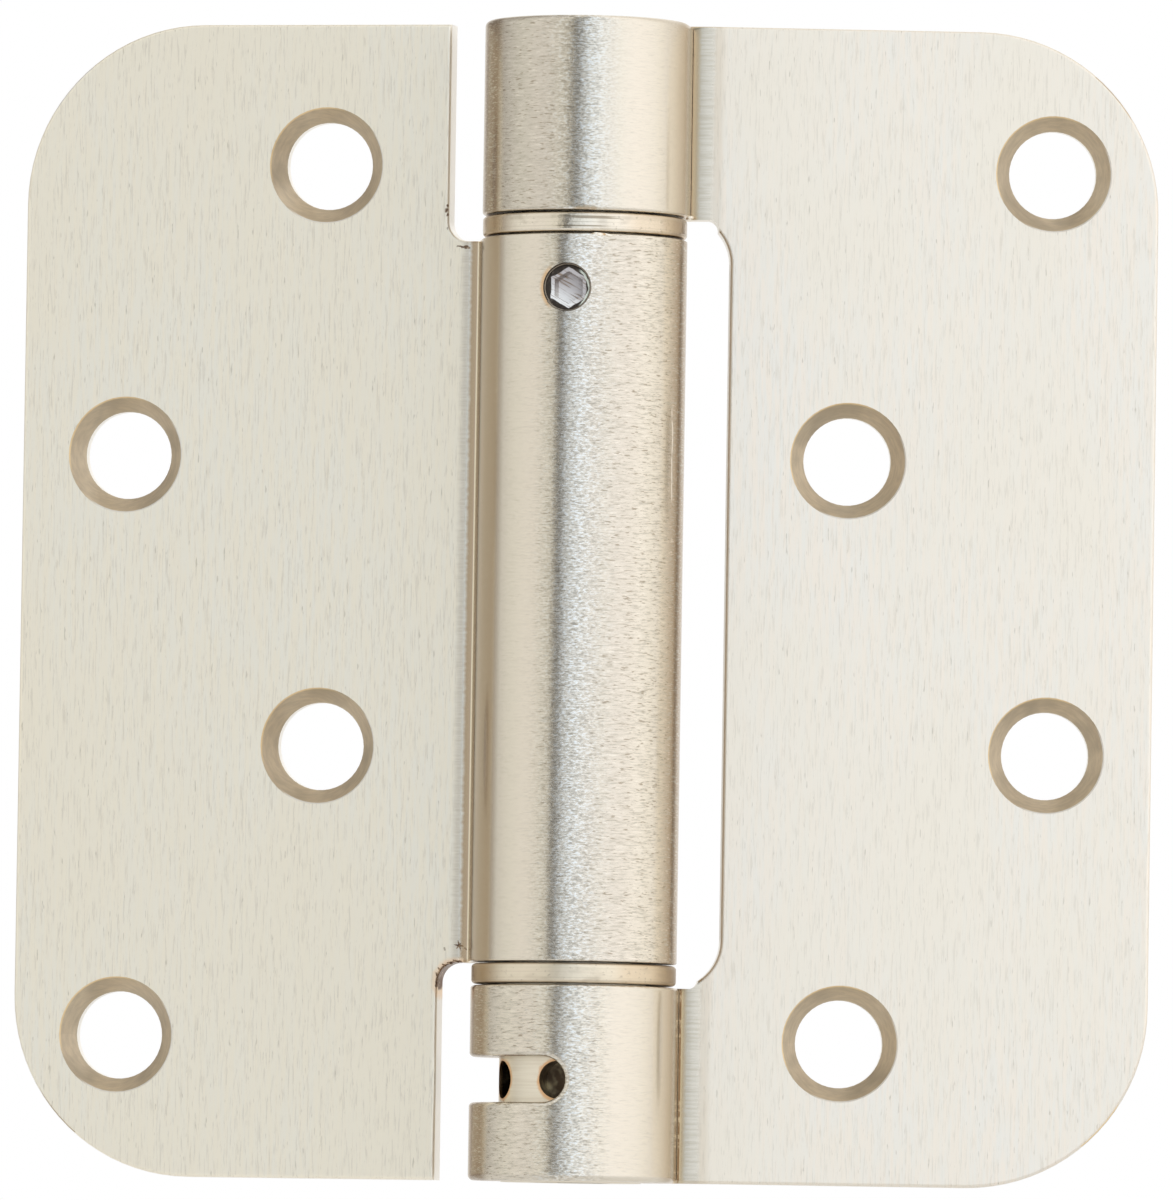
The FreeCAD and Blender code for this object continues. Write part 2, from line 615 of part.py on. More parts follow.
# Torsion spring: left hand, so that winding the spindle to close the leaves tightens it.
# One wire swept along its whole bent line, which no sketch can hold
low = value_of("coil_bottom")
high = value_of("coil_top")
join_turn = value_of("asin(tang_bend / (coil_radius - tang_bend)) / 360 deg")
pitch = (high - low) / (value_of("coils") - 2 * join_turn)
helix = Part.makeHelix(pitch, high - low, value_of("coil_radius"), 0, True)
helix.Placement = Placement(Vector(0, 0, low), Rotation(Vector(0, 0, 1), -360 * join_turn))
middle_line = tang_path(low, -1) + helix.Edges + tang_path(high, 1)
wire_start = Part.Circle(Vector(-value_of("tang_past"), 0, low), Vector(1, 0, 0),
                         value_of("wire / 2"))
sweep = Part.BRepOffsetAPI.MakePipeShell(Part.Wire(Part.__sortEdges__(middle_line)))
sweep.setBiNormalMode(Vector(0, 0, 1))
sweep.setTransitionMode(1)
sweep.add(Part.Wire(wire_start.toShape()))
sweep.build()
sweep.makeSolid()
torsion_spring = doc.addObject("Part::Feature", "torsion_spring")
torsion_spring.Shape = sweep.shape()
with_set_screw(torsion_spring)

# Retaining ring: open ring in the spindle's groove, above the lower bushing
retaining_ring = turned_body("retaining_ring", (
    ("groove_radius + ring_gap", "ring_bottom"),
    ("ring_radius", "ring_bottom"),
    ("ring_radius", "ring_top"),
    ("groove_radius + ring_gap", "ring_top"),
), "360 - ring_open_angle")

# Cap pressed into the open end of the top knuckle, with a low dome
top_cap = turned_body("top_cap", (
    ("0", "half_height - cap_depth"),
    ("bushing_radius", "half_height - cap_depth"),
    ("bushing_radius", "half_height - cap_crown"),
    ("0", "half_height", "(bushing_radius^2 + cap_crown^2) / (2 * cap_crown)", 1),
))

# Set screw: hexagon socket outwards, cone point in the seat of the anchor plug
set_screw = doc.addObject("PartDesign::Body", "set_screw")
screw_profile = new_sketch(set_screw, "set_screw_profile", "XY_Plane", "set_screw_level")
outline(screw_profile, (
    ("0", "-set_screw_face"),
    ("set_screw_radius", "-set_screw_face"),
    ("set_screw_radius", "-set_screw_tip - set_screw_point"),
    ("set_screw_radius - set_screw_point", "-set_screw_tip"),
    ("0", "-set_screw_tip"),
))
screw_turned = set_screw.newObject("PartDesign::Revolution", "set_screw_turned")
screw_turned.Profile = screw_profile
screw_turned.ReferenceAxis = (screw_profile, ["V_Axis"])
doc.recompute()
hex_socket = new_sketch(set_screw, "hex_socket_outline", "XZ_Plane", "set_screw_face")
hexagon_at(hex_socket, "set_screw_level", "set_screw_flats")
cut(set_screw, "hex_socket", hex_socket, "set_screw_socket")
with_set_screw(set_screw)

doc.recompute()

# Every piece is checked, then written under its own name
for item in doc.Objects:
    if "Invalid" in item.State or "Error" in item.State:
        raise RuntimeError("%s failed: %s" % (item.Name, item.State))
bodies = [item for item in doc.Objects if item.TypeId == "PartDesign::Body"]
bodies.append(torsion_spring)
os.makedirs("parts", exist_ok=True)
for body in bodies:
    if not body.Shape.isValid() or len(body.Shape.Solids) != 1:
        raise RuntimeError("%s is not one valid solid" % body.Label)
    body.Shape.exportStep("parts/%s.step" % body.Label)
    box = body.Shape.BoundBox
    print("%-18s volume %8.1f  x %6.2f %6.2f  y %6.2f %6.2f  z %6.2f %6.2f" % (
        body.Label, body.Shape.Volume, box.XMin, box.XMax, box.YMin, box.YMax,
        box.ZMin, box.ZMax))
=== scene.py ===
"""Looks of the spring loaded door hinge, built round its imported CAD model, in metres."""

import math

import bpy
from mathutils import Matrix, Vector


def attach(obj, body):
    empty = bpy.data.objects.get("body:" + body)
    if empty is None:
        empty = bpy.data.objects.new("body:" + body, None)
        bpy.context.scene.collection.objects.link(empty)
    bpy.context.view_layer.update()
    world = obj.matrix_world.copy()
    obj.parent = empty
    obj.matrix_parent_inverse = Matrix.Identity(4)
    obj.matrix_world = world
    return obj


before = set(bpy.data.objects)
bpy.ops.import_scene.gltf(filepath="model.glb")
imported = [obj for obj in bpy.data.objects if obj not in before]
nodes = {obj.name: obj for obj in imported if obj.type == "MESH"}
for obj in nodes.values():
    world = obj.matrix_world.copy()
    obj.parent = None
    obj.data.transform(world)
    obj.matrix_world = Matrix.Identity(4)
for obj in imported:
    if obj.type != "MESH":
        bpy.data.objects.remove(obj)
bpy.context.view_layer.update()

# Frame leaf: one blank of steel sheet, blanked, countersunk, rolled at both ends into the top
# and bottom knuckles, then ground with a belt and plated with satin nickel. The strokes run
# lengthwise on the flat leaf and round the knuckles, whose smooth fronts were left by the roll.
leaf_front = 0.0008
leaf_back = 0.0033
roll_radius = 0.009
gap_start, gap_end = 0.00922, 0.00938


def put(tree, kind, inputs=None, **settings):
    """A node of the tree with its settings and its inputs, which are values or sockets."""
    made = tree.nodes.new(kind)
    for name, value in settings.items():
        setattr(made, name, value)
    for key, value in (inputs or {}).items():
        if isinstance(value, bpy.types.NodeSocket):
            tree.links.new(value, made.inputs[key])
        else:
            made.inputs[key].default_value = value
    return made


def calc(tree, operation, *values, clamp=False):
    """The result socket of a Math node."""
    return put(tree, "ShaderNodeMath", dict(enumerate(values)), operation=operation,
               use_clamp=clamp).outputs[0]


def ramp_up(tree, value, low, high):
    """0 below low, 1 above high and smooth between them."""
    return put(tree, "ShaderNodeMapRange", {"Value": value, "From Min": low, "From Max": high},
               interpolation_type="SMOOTHSTEP").outputs["Result"]


def between(tree, value, low, high, soft):
    """1 between low and high, fading to 0 over a soft width at both."""
    return calc(tree, "MULTIPLY", ramp_up(tree, value, low - soft, low + soft),
                calc(tree, "SUBTRACT", 1.0, ramp_up(tree, value, high - soft, high + soft)))


def noise(tree, point, scale, detail=2.0, rough=0.5, seed=0.0):
    """Noise stretched by three scales in cycles per metre."""
    placed = put(tree, "ShaderNodeMapping", {"Vector": point, "Location": (seed, seed, seed),
                                             "Scale": scale})
    made = put(tree, "ShaderNodeTexNoise", {"Vector": placed.outputs[0], "Scale": 1.0,
                                            "Detail": detail, "Roughness": rough})
    return made.outputs["Fac"]


def blend_colour(tree, share, first, second, mode="MIX"):
    """The colour socket of a Mix node."""
    made = put(tree, "ShaderNodeMix", data_type="RGBA", blend_type=mode)
    for key, value in ((0, share), (6, first), (7, second)):
        if isinstance(value, bpy.types.NodeSocket):
            tree.links.new(value, made.inputs[key])
        elif key == 0:
            made.inputs[key].default_value = value
        else:
            made.inputs[key].default_value = (*value, 1.0)
    return made.outputs[2]


def new_material(name):
    """An empty material, its tree, its shader, the Object coordinates and their three axes."""
    material = bpy.data.materials.new(name)
    material.use_nodes = True
    tree = material.node_tree
    tree.nodes.clear()
    shader = put(tree, "ShaderNodeBsdfPrincipled", {"Metallic": 1.0})
    put(tree, "ShaderNodeOutputMaterial", {"Surface": shader.outputs[0]})
    point = put(tree, "ShaderNodeTexCoord").outputs["Object"]
    return material, tree, shader, point, put(tree, "ShaderNodeSeparateXYZ", {0: point}).outputs


def round_axis(tree, axes):
    """Distance from the pin axis, and the angle round it in degrees from the front."""
    reach = calc(tree, "SQRT", calc(tree, "ADD", calc(tree, "MULTIPLY", axes[0], axes[0]),
                                    calc(tree, "MULTIPLY", axes[1], axes[1])))
    angle = calc(tree, "DEGREES", calc(tree, "ARCTAN2", axes[0],
                                       calc(tree, "MULTIPLY", axes[1], -1.0)))
    return reach, angle


def spots(tree, point, marks, ragged=0.00012, flatten=1.0):
    """1 near any mark, which is a place and the sizes of its dark core and of its fringe.
    Marks flattened more than once are wider than they are high."""
    wave = put(tree, "ShaderNodeTexNoise", {"Vector": point, "Scale": 2600.0, "Detail": 2.0})
    moved = put(tree, "ShaderNodeVectorMath", {0: wave.outputs["Color"], 1: (0.5, 0.5, 0.5)},
                operation="SUBTRACT")
    moved = put(tree, "ShaderNodeVectorMath", {0: moved.outputs[0], 1: (ragged * 4.0,) * 3,
                                               2: point}, operation="MULTIPLY_ADD")
    moved = put(tree, "ShaderNodeVectorMath", {0: moved.outputs[0], 1: (1.0, 1.0, flatten)},
                operation="MULTIPLY")
    whole = None
    for place, inner, outer in marks:
        far = put(tree, "ShaderNodeVectorMath",
                  {0: moved.outputs[0], 1: (place[0], place[1], place[2] * flatten)},
                  operation="DISTANCE").outputs["Value"]
        share = calc(tree, "SUBTRACT", 1.0, ramp_up(tree, far, inner, outer))
        whole = share if whole is None else calc(tree, "MAXIMUM", whole, share)
    return whole


def brushed_leaf(name, tone, grain, belts, left, right, crease, root_shade, sheared, turns,
                 leaf_turn, root_edge, leaf_edge):
    """Satin nickel on a rolled leaf. Grain is the two angles round the roll, in degrees from
    the front, between which the belt's strokes lie, the angle up to which they dim it, and by
    what share. Belts is how far they shift above the middle and how much they dim below it.
    Left and right are the angle from which each side of the roll is painted brown, as painted
    reflection and shade, and its tint. The crease and root colours are painted shade, in the crease
    by the leaf and on the root beside it, and sheared is the colour of the roll's end. Turns are
    how far the roll's front is out of round above and below the middle. The root starts at
    root_edge and the flat leaf at leaf_edge."""
    material, tree, shader, point, axes = new_material(name)
    reach, angle = round_axis(tree, axes)
    upper = calc(tree, "GREATER_THAN", axes[2], 0.0)
    ragged = noise(tree, point, (900.0, 900.0, 2600.0), 3.0)
    flat = ramp_up(tree, calc(tree, "MULTIPLY_ADD", ragged, 0.0005, reach),
                   leaf_edge, leaf_edge + 0.0007)

    # Flat leaf: fine lengthwise strokes, faint warm and cool streaks, and short dark scratches
    stroke = noise(tree, point, (6000.0, 6000.0, 420.0), 4.0, 0.7)
    streak = noise(tree, point, (2200.0, 2200.0, 180.0), 3.0, 0.6, 7.0)
    cloud = noise(tree, point, (70.0, 70.0, 28.0), 2.0, 0.5, 3.0)
    scratch = noise(tree, point, (5200.0, 5200.0, 760.0), 2.0, 0.5, 11.0)
    leaf = blend_colour(tree, ramp_up(tree, streak, 0.35, 0.65),
                        [min(1.0, part * shift) for part, shift in
                         zip(tone, (1.02, 0.99, 0.97))],
                        [part * shift for part, shift in zip(tone, (0.98, 0.995, 1.015))])
    leaf = blend_colour(tree, ramp_up(tree, cloud, 0.3, 0.7), leaf,
                        [part * shift for part, shift in zip(tone, (1.0, 0.985, 0.955))])
    leaf = blend_colour(tree, calc(tree, "MULTIPLY", ramp_up(tree, stroke, 0.51, 0.66), 0.55),
                        leaf, (0.74, 0.69, 0.60))
    leaf = blend_colour(tree, calc(tree, "MULTIPLY", ramp_up(tree, scratch, 0.66, 0.76), 0.5),
                        leaf, (0.50, 0.45, 0.37))

    # Countersinks: cut after grinding, so browner, turned and darker where the tool dwelt. They
    # are the slopes between the nearest and farthest holes from the axis, short of the leaf's ends.
    turn = math.radians(leaf_turn)
    depth = calc(tree, "MULTIPLY_ADD", axes[0], math.sin(turn),
                 calc(tree, "MULTIPLY", axes[1], math.cos(turn)))
    inner = put(tree, "ShaderNodeVectorTransform",
                {"Vector": put(tree, "ShaderNodeNewGeometry").outputs["Normal"]},
                vector_type="NORMAL", convert_from="WORLD", convert_to="OBJECT").outputs[0]
    facing = put(tree, "ShaderNodeVectorMath",
                 {0: inner, 1: (-math.sin(turn), -math.cos(turn), 0.0)},
                 operation="DOT_PRODUCT").outputs["Value"]
    nearest, farthest, highest = 0.0168, 0.0480, 0.047
    within = calc(tree, "MULTIPLY", between(tree, reach, nearest, farthest, 0.0002),
                  calc(tree, "LESS_THAN", calc(tree, "ABSOLUTE", axes[2]), highest))
    cone = calc(tree, "MULTIPLY", between(tree, facing, 0.45, 0.85, 0.03), within)
    tool = noise(tree, point, (900.0, 5200.0, 900.0), 3.0, 0.6, 23.0)
    patch = noise(tree, point, (260.0, 260.0, 260.0), 2.0, 0.5, 29.0)
    turned = blend_colour(tree, ramp_up(tree, tool, 0.3, 0.7), (0.69, 0.585, 0.44),
                          (0.59, 0.50, 0.38))
    turned = blend_colour(tree, calc(tree, "MULTIPLY", ramp_up(tree, patch, 0.42, 0.75), 0.6),
                          turned, (0.40, 0.345, 0.265))
    # Their rims are lines of painted light, set by the way they face: a near-white painted
    # highlight where they look up and left, and warm orange where they look down and right
    lean = put(tree, "ShaderNodeVectorMath", {0: inner, 1: (0.7071, 0.0, -0.7071)},
               operation="DOT_PRODUCT").outputs["Value"]
    rim = blend_colour(tree, ramp_up(tree, lean, -0.15, 0.15), (0.99, 1.0, 1.0),
                       (1.0, 0.80, 0.50))
    rim_light_share = calc(tree, "MULTIPLY", calc(tree, "SUBTRACT", 1.0, ramp_up(
        tree, depth, leaf_front + 0.00008, leaf_front + 0.00018)), ramp_up(
            tree, calc(tree, "ABSOLUTE", lean), 0.15, 0.4))
    turned = blend_colour(tree, calc(tree, "MULTIPLY", rim_light_share, 0.85), turned, rim)
    leaf = blend_colour(tree, cone, leaf, turned)

    # Sheared walls of the blank: bright torn steel
    wall = calc(tree, "MULTIPLY", calc(tree, "SUBTRACT", 1.0, ramp_up(tree, facing, 0.2, 0.4)),
                between(tree, depth, leaf_front + 0.00004, leaf_back - 0.00005, 0.00004))
    leaf = blend_colour(tree, wall, leaf, (0.97, 0.955, 0.92))

    # Rolls: short grain round the pin axis with dark dashes where the belt went, sides painted
    # browner as painted reflection and shade, and painted glints and dark painted specks near the
    # front
    belt = calc(tree, "MULTIPLY_ADD", upper, belts[0], angle)
    worked = between(tree, belt, grain[0], grain[1], 8.0)
    lines = noise(tree, point, (1000.0, 1000.0, 6800.0), 4.0, 0.65, 5.0)
    sparkle = noise(tree, point, (2600.0, 2600.0, 6800.0), 3.0, 0.65, 31.0)
    dash = noise(tree, point, (1300.0, 1300.0, 7600.0), 2.0, 0.55, 17.0)
    frost = calc(tree, "DIVIDE", calc(tree, "ADD", angle, 7.0), 16.0)
    frost = calc(tree, "EXPONENT", calc(tree, "MULTIPLY", calc(tree, "MULTIPLY", frost, frost),
                                        -1.0))
    base = (0.785, 0.727, 0.627)
    back = ramp_up(tree, calc(tree, "ABSOLUTE", angle), 100.0, 125.0)
    front = calc(tree, "SUBTRACT", 1.0, back)
    # Painted reflection and shade: each side of the roll is painted brown beyond its given angle
    rolled = blend_colour(tree, calc(tree, "MULTIPLY", front, ramp_up(
        tree, angle, right[0], right[0] + 22.0)), base,
        [part * shift for part, shift in zip(base, right[1])])
    rolled = blend_colour(tree, calc(tree, "MULTIPLY", front, ramp_up(
        tree, calc(tree, "MULTIPLY", angle, -1.0), left[0], left[0] + 10.0)),
        rolled, [part * shift for part, shift in zip(base, left[1])])
    dimmed = calc(tree, "MULTIPLY", between(tree, belt, grain[0], grain[2], 6.0),
                  calc(tree, "MULTIPLY_ADD", upper, 1.0 - belts[1], belts[1]))
    rolled = blend_colour(tree, dimmed, rolled, (grain[3], grain[3], grain[3] * 1.01), "MULTIPLY")
    ground = calc(tree, "MULTIPLY_ADD", worked, 0.85, 0.15)
    rolled = blend_colour(tree, calc(tree, "MULTIPLY", ground, ramp_up(tree, lines, 0.48, 0.68)),
                          rolled, (0.57, 0.53, 0.45))
    rolled = blend_colour(tree, calc(tree, "MULTIPLY", ground, calc(
        tree, "MULTIPLY", calc(tree, "SUBTRACT", 1.0, ramp_up(tree, lines, 0.30, 0.46)), 0.5)),
        rolled, (0.92, 0.87, 0.77))
    rolled = blend_colour(tree, calc(tree, "MULTIPLY", ground, calc(
        tree, "MULTIPLY", ramp_up(tree, dash, 0.58, 0.70), 0.8)), rolled, (0.33, 0.275, 0.20))
    # Painted sparkle near the front: pale painted glints and dark specks of painted shade where the
    # grain would catch the light
    glint = calc(tree, "MULTIPLY", frost, ramp_up(tree, sparkle, 0.50, 0.62))
    rolled = blend_colour(tree, calc(tree, "MULTIPLY", glint, 0.7), rolled, (0.93, 0.96, 0.97))
    painted_speck_shade = calc(tree, "MULTIPLY", frost, calc(tree, "SUBTRACT", 1.0, ramp_up(tree, sparkle, 0.36,
                                                                            0.48)))
    rolled = blend_colour(tree, calc(tree, "MULTIPLY", painted_speck_shade, 0.7), rolled, (0.36, 0.34, 0.305))
    # Painted shade in the crease where the roll meets the leaf
    rolled = blend_colour(tree, ramp_up(tree, reach, roll_radius + 0.00003,
                                        roll_radius + 0.00008), rolled, crease)
    # The sheared end of the sheet shows in the crease, on the frame leaf only low down
    end = calc(tree, "MULTIPLY", calc(tree, "GREATER_THAN", reach, roll_radius + 0.00004),
               between(tree, calc(tree, "ABSOLUTE", axes[0]), 0.0088, gap_start - 0.00001,
                       0.00004))
    if leaf_turn == 0.0:
        end = calc(tree, "MULTIPLY", end, calc(tree, "SUBTRACT", 1.0, upper))
    rolled = blend_colour(tree, end, rolled, sheared)

    # Root of the leaf: the outside of its bend, drawn smooth across by the rolling die, and painted
    # brown next to the roll as painted shade
    drawn = noise(tree, point, (300.0, 300.0, 5200.0), 3.0, 0.6, 13.0)
    root = blend_colour(tree, ramp_up(tree, drawn, 0.35, 0.7), (0.80, 0.755, 0.67),
                        (0.70, 0.65, 0.555))
    tan = calc(tree, "SUBTRACT", 1.0, ramp_up(tree, calc(tree, "MULTIPLY_ADD", ragged, 0.0003,
                                                         reach), root_edge + 0.0005,
                                              root_edge + 0.0009))
    root = blend_colour(tree, tan, root, root_shade)
    rolled = blend_colour(tree, ramp_up(tree, reach, root_edge, root_edge + 0.00015), rolled,
                          root)
    colour = blend_colour(tree, flat, rolled, leaf)

    # The strokes run on into the bend of the folded leaf
    brushed = flat
    if leaf_turn:
        brushed = ramp_up(tree, reach, leaf_edge - 0.0006, leaf_edge - 0.0002)
    rough = put(tree, "ShaderNodeMix", {0: brushed,
                                        2: calc(tree, "MULTIPLY_ADD", lines, 0.12, 0.17),
                                        3: calc(tree, "MULTIPLY_ADD", stroke, 0.14, 0.32)})
    tree.links.new(rough.outputs[0], shader.inputs["Roughness"])
    shader.inputs["Anisotropic"].default_value = 0.72
    lay = put(tree, "ShaderNodeMix", {0: calc(tree, "GREATER_THAN", brushed, 0.5),
                                      4: (0.0, 0.0, 1.0), 5: (1.0, 0.0, 0.0)},
              data_type="VECTOR")
    tree.links.new(lay.outputs[1], shader.inputs["Tangent"])

    # The rolls are a few degrees out of round at the front, so their normals are turned there
    off = calc(tree, "MULTIPLY_ADD", upper, math.radians(turns[0] - turns[1]),
               math.radians(turns[1]))
    bell = calc(tree, "DIVIDE", angle, 35.0)
    bell = calc(tree, "EXPONENT", calc(tree, "MULTIPLY", calc(tree, "MULTIPLY", bell, bell), -1.0))
    bell = calc(tree, "MULTIPLY", bell, calc(tree, "LESS_THAN", reach, roll_radius + 0.0002))
    normal = put(tree, "ShaderNodeVectorRotate",
                 {"Vector": put(tree, "ShaderNodeNewGeometry").outputs["Normal"],
                  "Angle": calc(tree, "MULTIPLY", off, bell)}, rotation_type="Z_AXIS").outputs[0]
    relief = calc(tree, "ADD", calc(tree, "MULTIPLY", calc(tree, "MULTIPLY", ground, lines), 0.35),
                  calc(tree, "MULTIPLY", calc(tree, "MULTIPLY_ADD", frost, 0.65,
                                              calc(tree, "MULTIPLY", ground, 0.25)), sparkle))
    height = put(tree, "ShaderNodeMix", {0: flat, 2: relief,
                                         3: calc(tree, "MULTIPLY", stroke, 0.16)})
    bump = put(tree, "ShaderNodeBump", {"Height": height.outputs[0], "Distance": 0.000024,
                                        "Strength": 0.9, "Normal": normal})
    tree.links.new(bump.outputs[0], shader.inputs["Normal"])
    return material, tree, shader, point, axes, reach, angle, colour


made = brushed_leaf("satin_nickel_frame_leaf", tone=(0.89, 0.845, 0.762),
                    grain=(-77.0, 14.0, -2.0, 0.86), belts=(10.0, 0.3),
                    left=(56.0, (0.44, 0.35, 0.28)), right=(50.0, (0.64, 0.55, 0.44)),
                    crease=(0.62, 0.51, 0.37), root_shade=(0.70, 0.61, 0.455),
                    sheared=(0.78, 0.66, 0.48), turns=(-4.7, -1.0), leaf_turn=0.0,
                    root_edge=0.00945, leaf_edge=0.0112)
material, tree, shader, point, axes, reach, angle, colour = made

# The leaf is painted darker along its bend as painted shade, and a ragged line of painted shade
# lies along the seam where each roll meets it again, redder on the bottom knuckle, where the
# painted line also stands a little farther out
seam_shade_noise = noise(tree, point, (2500.0, 2500.0, 1500.0), 3.0, 0.6, 41.0)
across = calc(tree, "MULTIPLY_ADD", calc(tree, "LESS_THAN", axes[2], 0.0), -0.00018, axes[0])
seam = calc(tree, "MULTIPLY", between(tree, across, gap_start, gap_end, 0.00004),
            ramp_up(tree, calc(tree, "MULTIPLY", axes[1], -1.0), -0.002, -0.0015))
bend = between(tree, axes[0], 0.0096, 0.0120, 0.0004)
colour = blend_colour(tree, bend, colour, (0.90, 0.875, 0.84), "MULTIPLY")
seam_shade = blend_colour(tree, calc(tree, "GREATER_THAN", axes[2], 0.0), (0.33, 0.21, 0.115),
                    (0.74, 0.61, 0.45))
colour = blend_colour(tree, calc(tree, "MULTIPLY", seam, ramp_up(tree, seam_shade_noise, 0.35, 0.5)), colour,
                      seam_shade)
speck = spots(tree, point, [
    ((0.0095 + 0.0003 * math.sin(7.0 * row), 0.0006, 0.0349 + 0.0021 * row), 0.00004, 0.00016)
    for row in range(8)])
colour = blend_colour(tree, calc(tree, "MULTIPLY", speck, 0.7), colour, (0.24, 0.18, 0.12))
# A long flat chip in the top knuckle's lower edge, and dirt by the bottom knuckle's seam
chip = spots(tree, point, (((-0.00105, -0.00893, 0.03388), 0.00022, 0.00040),
                           ((-0.00045, -0.00898, 0.03392), 0.00028, 0.00046),
                           ((0.00020, -0.00899, 0.03388), 0.00022, 0.00040)), 0.00004, 1.3)
colour = blend_colour(tree, calc(tree, "MULTIPLY", chip, 0.8), colour, (0.50, 0.40, 0.28))
marks = spots(tree, point, (((0.00936, 0.0006, -0.0358), 0.00012, 0.00040),
                            ((0.00942, 0.0006, -0.0372), 0.00010, 0.00036),
                            ((0.00940, 0.0006, -0.0391), 0.00006, 0.00024)), 0.00012, 0.5)
colour = blend_colour(tree, marks, colour, (0.24, 0.16, 0.09))
tree.links.new(colour, shader.inputs["Base Color"])
nodes["frame_leaf"].data.materials[0] = material

# Barrel leaf: the second blank, notched so that only its middle is rolled, into the long
# barrel that holds the spring. Same steel and plating, with the set screw's hole tapped
# through the roll near its top.
leaf_fold = 15.0
made = brushed_leaf("satin_nickel_barrel_leaf", tone=(1.0, 0.955, 0.845),
                    grain=(-26.0, 85.0, 28.0, 0.92), belts=(0.0, 1.0),
                    left=(52.0, (0.55, 0.485, 0.425)), right=(46.0, (0.43, 0.32, 0.215)),
                    crease=(0.45, 0.345, 0.235), root_shade=(0.45, 0.335, 0.215),
                    sheared=(0.80, 0.67, 0.48), turns=(2.6, 2.6), leaf_turn=leaf_fold,
                    root_edge=0.00985, leaf_edge=0.0110)
material, tree, shader, point, axes, reach, angle, colour = made

# Burnt edge of the notch's lower corner: a pale orange fringe round a ragged brown rim, and
# small dark smears on the edge of the upper notch
fold = math.radians(leaf_fold)


def on_leaf(out, depth, level):
    """A place on the folded barrel leaf: out from the pin axis, deep from its line, and high."""
    return (-out * math.cos(fold) + depth * math.sin(fold),
            out * math.sin(fold) + depth * math.cos(fold), level)


out = calc(tree, "MULTIPLY_ADD", axes[0], -math.cos(fold),
           calc(tree, "MULTIPLY", axes[1], math.sin(fold)))
corner_out, corner_level = 0.01065, -0.03345
sideways = calc(tree, "SUBTRACT", out, corner_out)
upwards = calc(tree, "SUBTRACT", axes[2], corner_level)
round_notch = calc(tree, "SQRT", calc(tree, "ADD", calc(tree, "MULTIPLY", sideways, sideways),
                                      calc(tree, "MULTIPLY", upwards, upwards)))
torn = noise(tree, point, (1900.0, 1900.0, 1900.0), 3.0, 0.6, 37.0)
reached = calc(tree, "MULTIPLY_ADD", torn, -0.0005, round_notch)
near_notch = calc(tree, "MULTIPLY", between(tree, axes[2], -0.0353, -0.0313, 0.0003),
                  calc(tree, "LESS_THAN", axes[0], -0.0095))
fringe = calc(tree, "MULTIPLY", near_notch,
              calc(tree, "SUBTRACT", 1.0, ramp_up(tree, reached, 0.00175, 0.00220)))
colour = blend_colour(tree, calc(tree, "MULTIPLY", fringe, 0.7), colour, (0.97, 0.74, 0.52))
rim = calc(tree, "MULTIPLY", near_notch,
           calc(tree, "SUBTRACT", 1.0, ramp_up(tree, reached, 0.00152, 0.00166)))
colour = blend_colour(tree, rim, colour, (0.20, 0.125, 0.085))
smears = None
for flatten, rows in ((0.7, ((0.01181, -0.03054, 0.00005, 0.00018),
                             (0.01252, 0.03478, 0.00007, 0.00017),
                             (0.01262, 0.03440, 0.00008, 0.00020),
                             (0.01250, 0.03400, 0.00006, 0.00016),
                             (0.01250, 0.03283, 0.00005, 0.00017))),
                      (2.6, ((0.01140, 0.03122, 0.00016, 0.00034),
                             (0.01085, 0.03118, 0.00022, 0.00040)))):
    some = spots(tree, point, [(on_leaf(far, leaf_front, level), inner, outer)
                               for far, level, inner, outer in rows], flatten=flatten)
    smears = some if smears is None else calc(tree, "MAXIMUM", smears, some)
colour = blend_colour(tree, smears, colour, (0.20, 0.135, 0.09))

# The tap left an orange burr line on the left of the set screw's hole
screw_x, screw_y, screw_level = -0.225, -0.974, 0.027


def about_screw(tree, axes):
    """How far a place is aside of the set screw's axis, above it, and from it in all."""
    aside = calc(tree, "MULTIPLY_ADD", axes[0], -screw_y,
                 calc(tree, "MULTIPLY", axes[1], screw_x))
    above = calc(tree, "SUBTRACT", axes[2], screw_level)
    away = calc(tree, "SQRT", calc(tree, "ADD", calc(tree, "MULTIPLY", aside, aside),
                                   calc(tree, "MULTIPLY", above, above)))
    return aside, above, away


aside, above, hole = about_screw(tree, axes)
front = calc(tree, "LESS_THAN", axes[1], 0.0)
halo = calc(tree, "MULTIPLY", calc(tree, "SUBTRACT", 1.0, ramp_up(tree, hole, 0.00218, 0.00255)),
            calc(tree, "SUBTRACT", 1.0, ramp_up(tree, aside, -0.0019, -0.0012)))
colour = blend_colour(tree, calc(tree, "MULTIPLY", calc(tree, "MULTIPLY", halo, front), 0.8),
                      colour, (0.72, 0.47, 0.25))
# Painted shade: the wall inside the tapped hole is painted nearly black
tapped = calc(tree, "MULTIPLY", calc(tree, "LESS_THAN", hole, 0.00213), front)
colour = blend_colour(tree, tapped, colour, (0.13, 0.10, 0.08))

# One long scratch down the right of the barrel, painted as a near-white highlight
wander = noise(tree, point, (0.0, 0.0, 260.0), 2.0, 0.5, 19.0)
line = calc(tree, "MULTIPLY_ADD", wander, 5.0, calc(tree, "SUBTRACT", angle, 60.5))
scar_highlight = calc(tree, "MULTIPLY", between(tree, line, -0.45, 0.45, 0.25),
            between(tree, axes[2], 0.0088, 0.0167, 0.0004))
scar_highlight = calc(tree, "MULTIPLY", scar_highlight, ramp_up(tree, noise(tree, point, (0.0, 0.0, 900.0), 2.0), 0.35,
                                            0.5))
colour = blend_colour(tree, calc(tree, "MULTIPLY", scar_highlight, 0.9), colour, (1.0, 0.96, 0.88))
tree.links.new(colour, shader.inputs["Base Color"])
nodes["barrel_leaf"].data.materials[0] = material


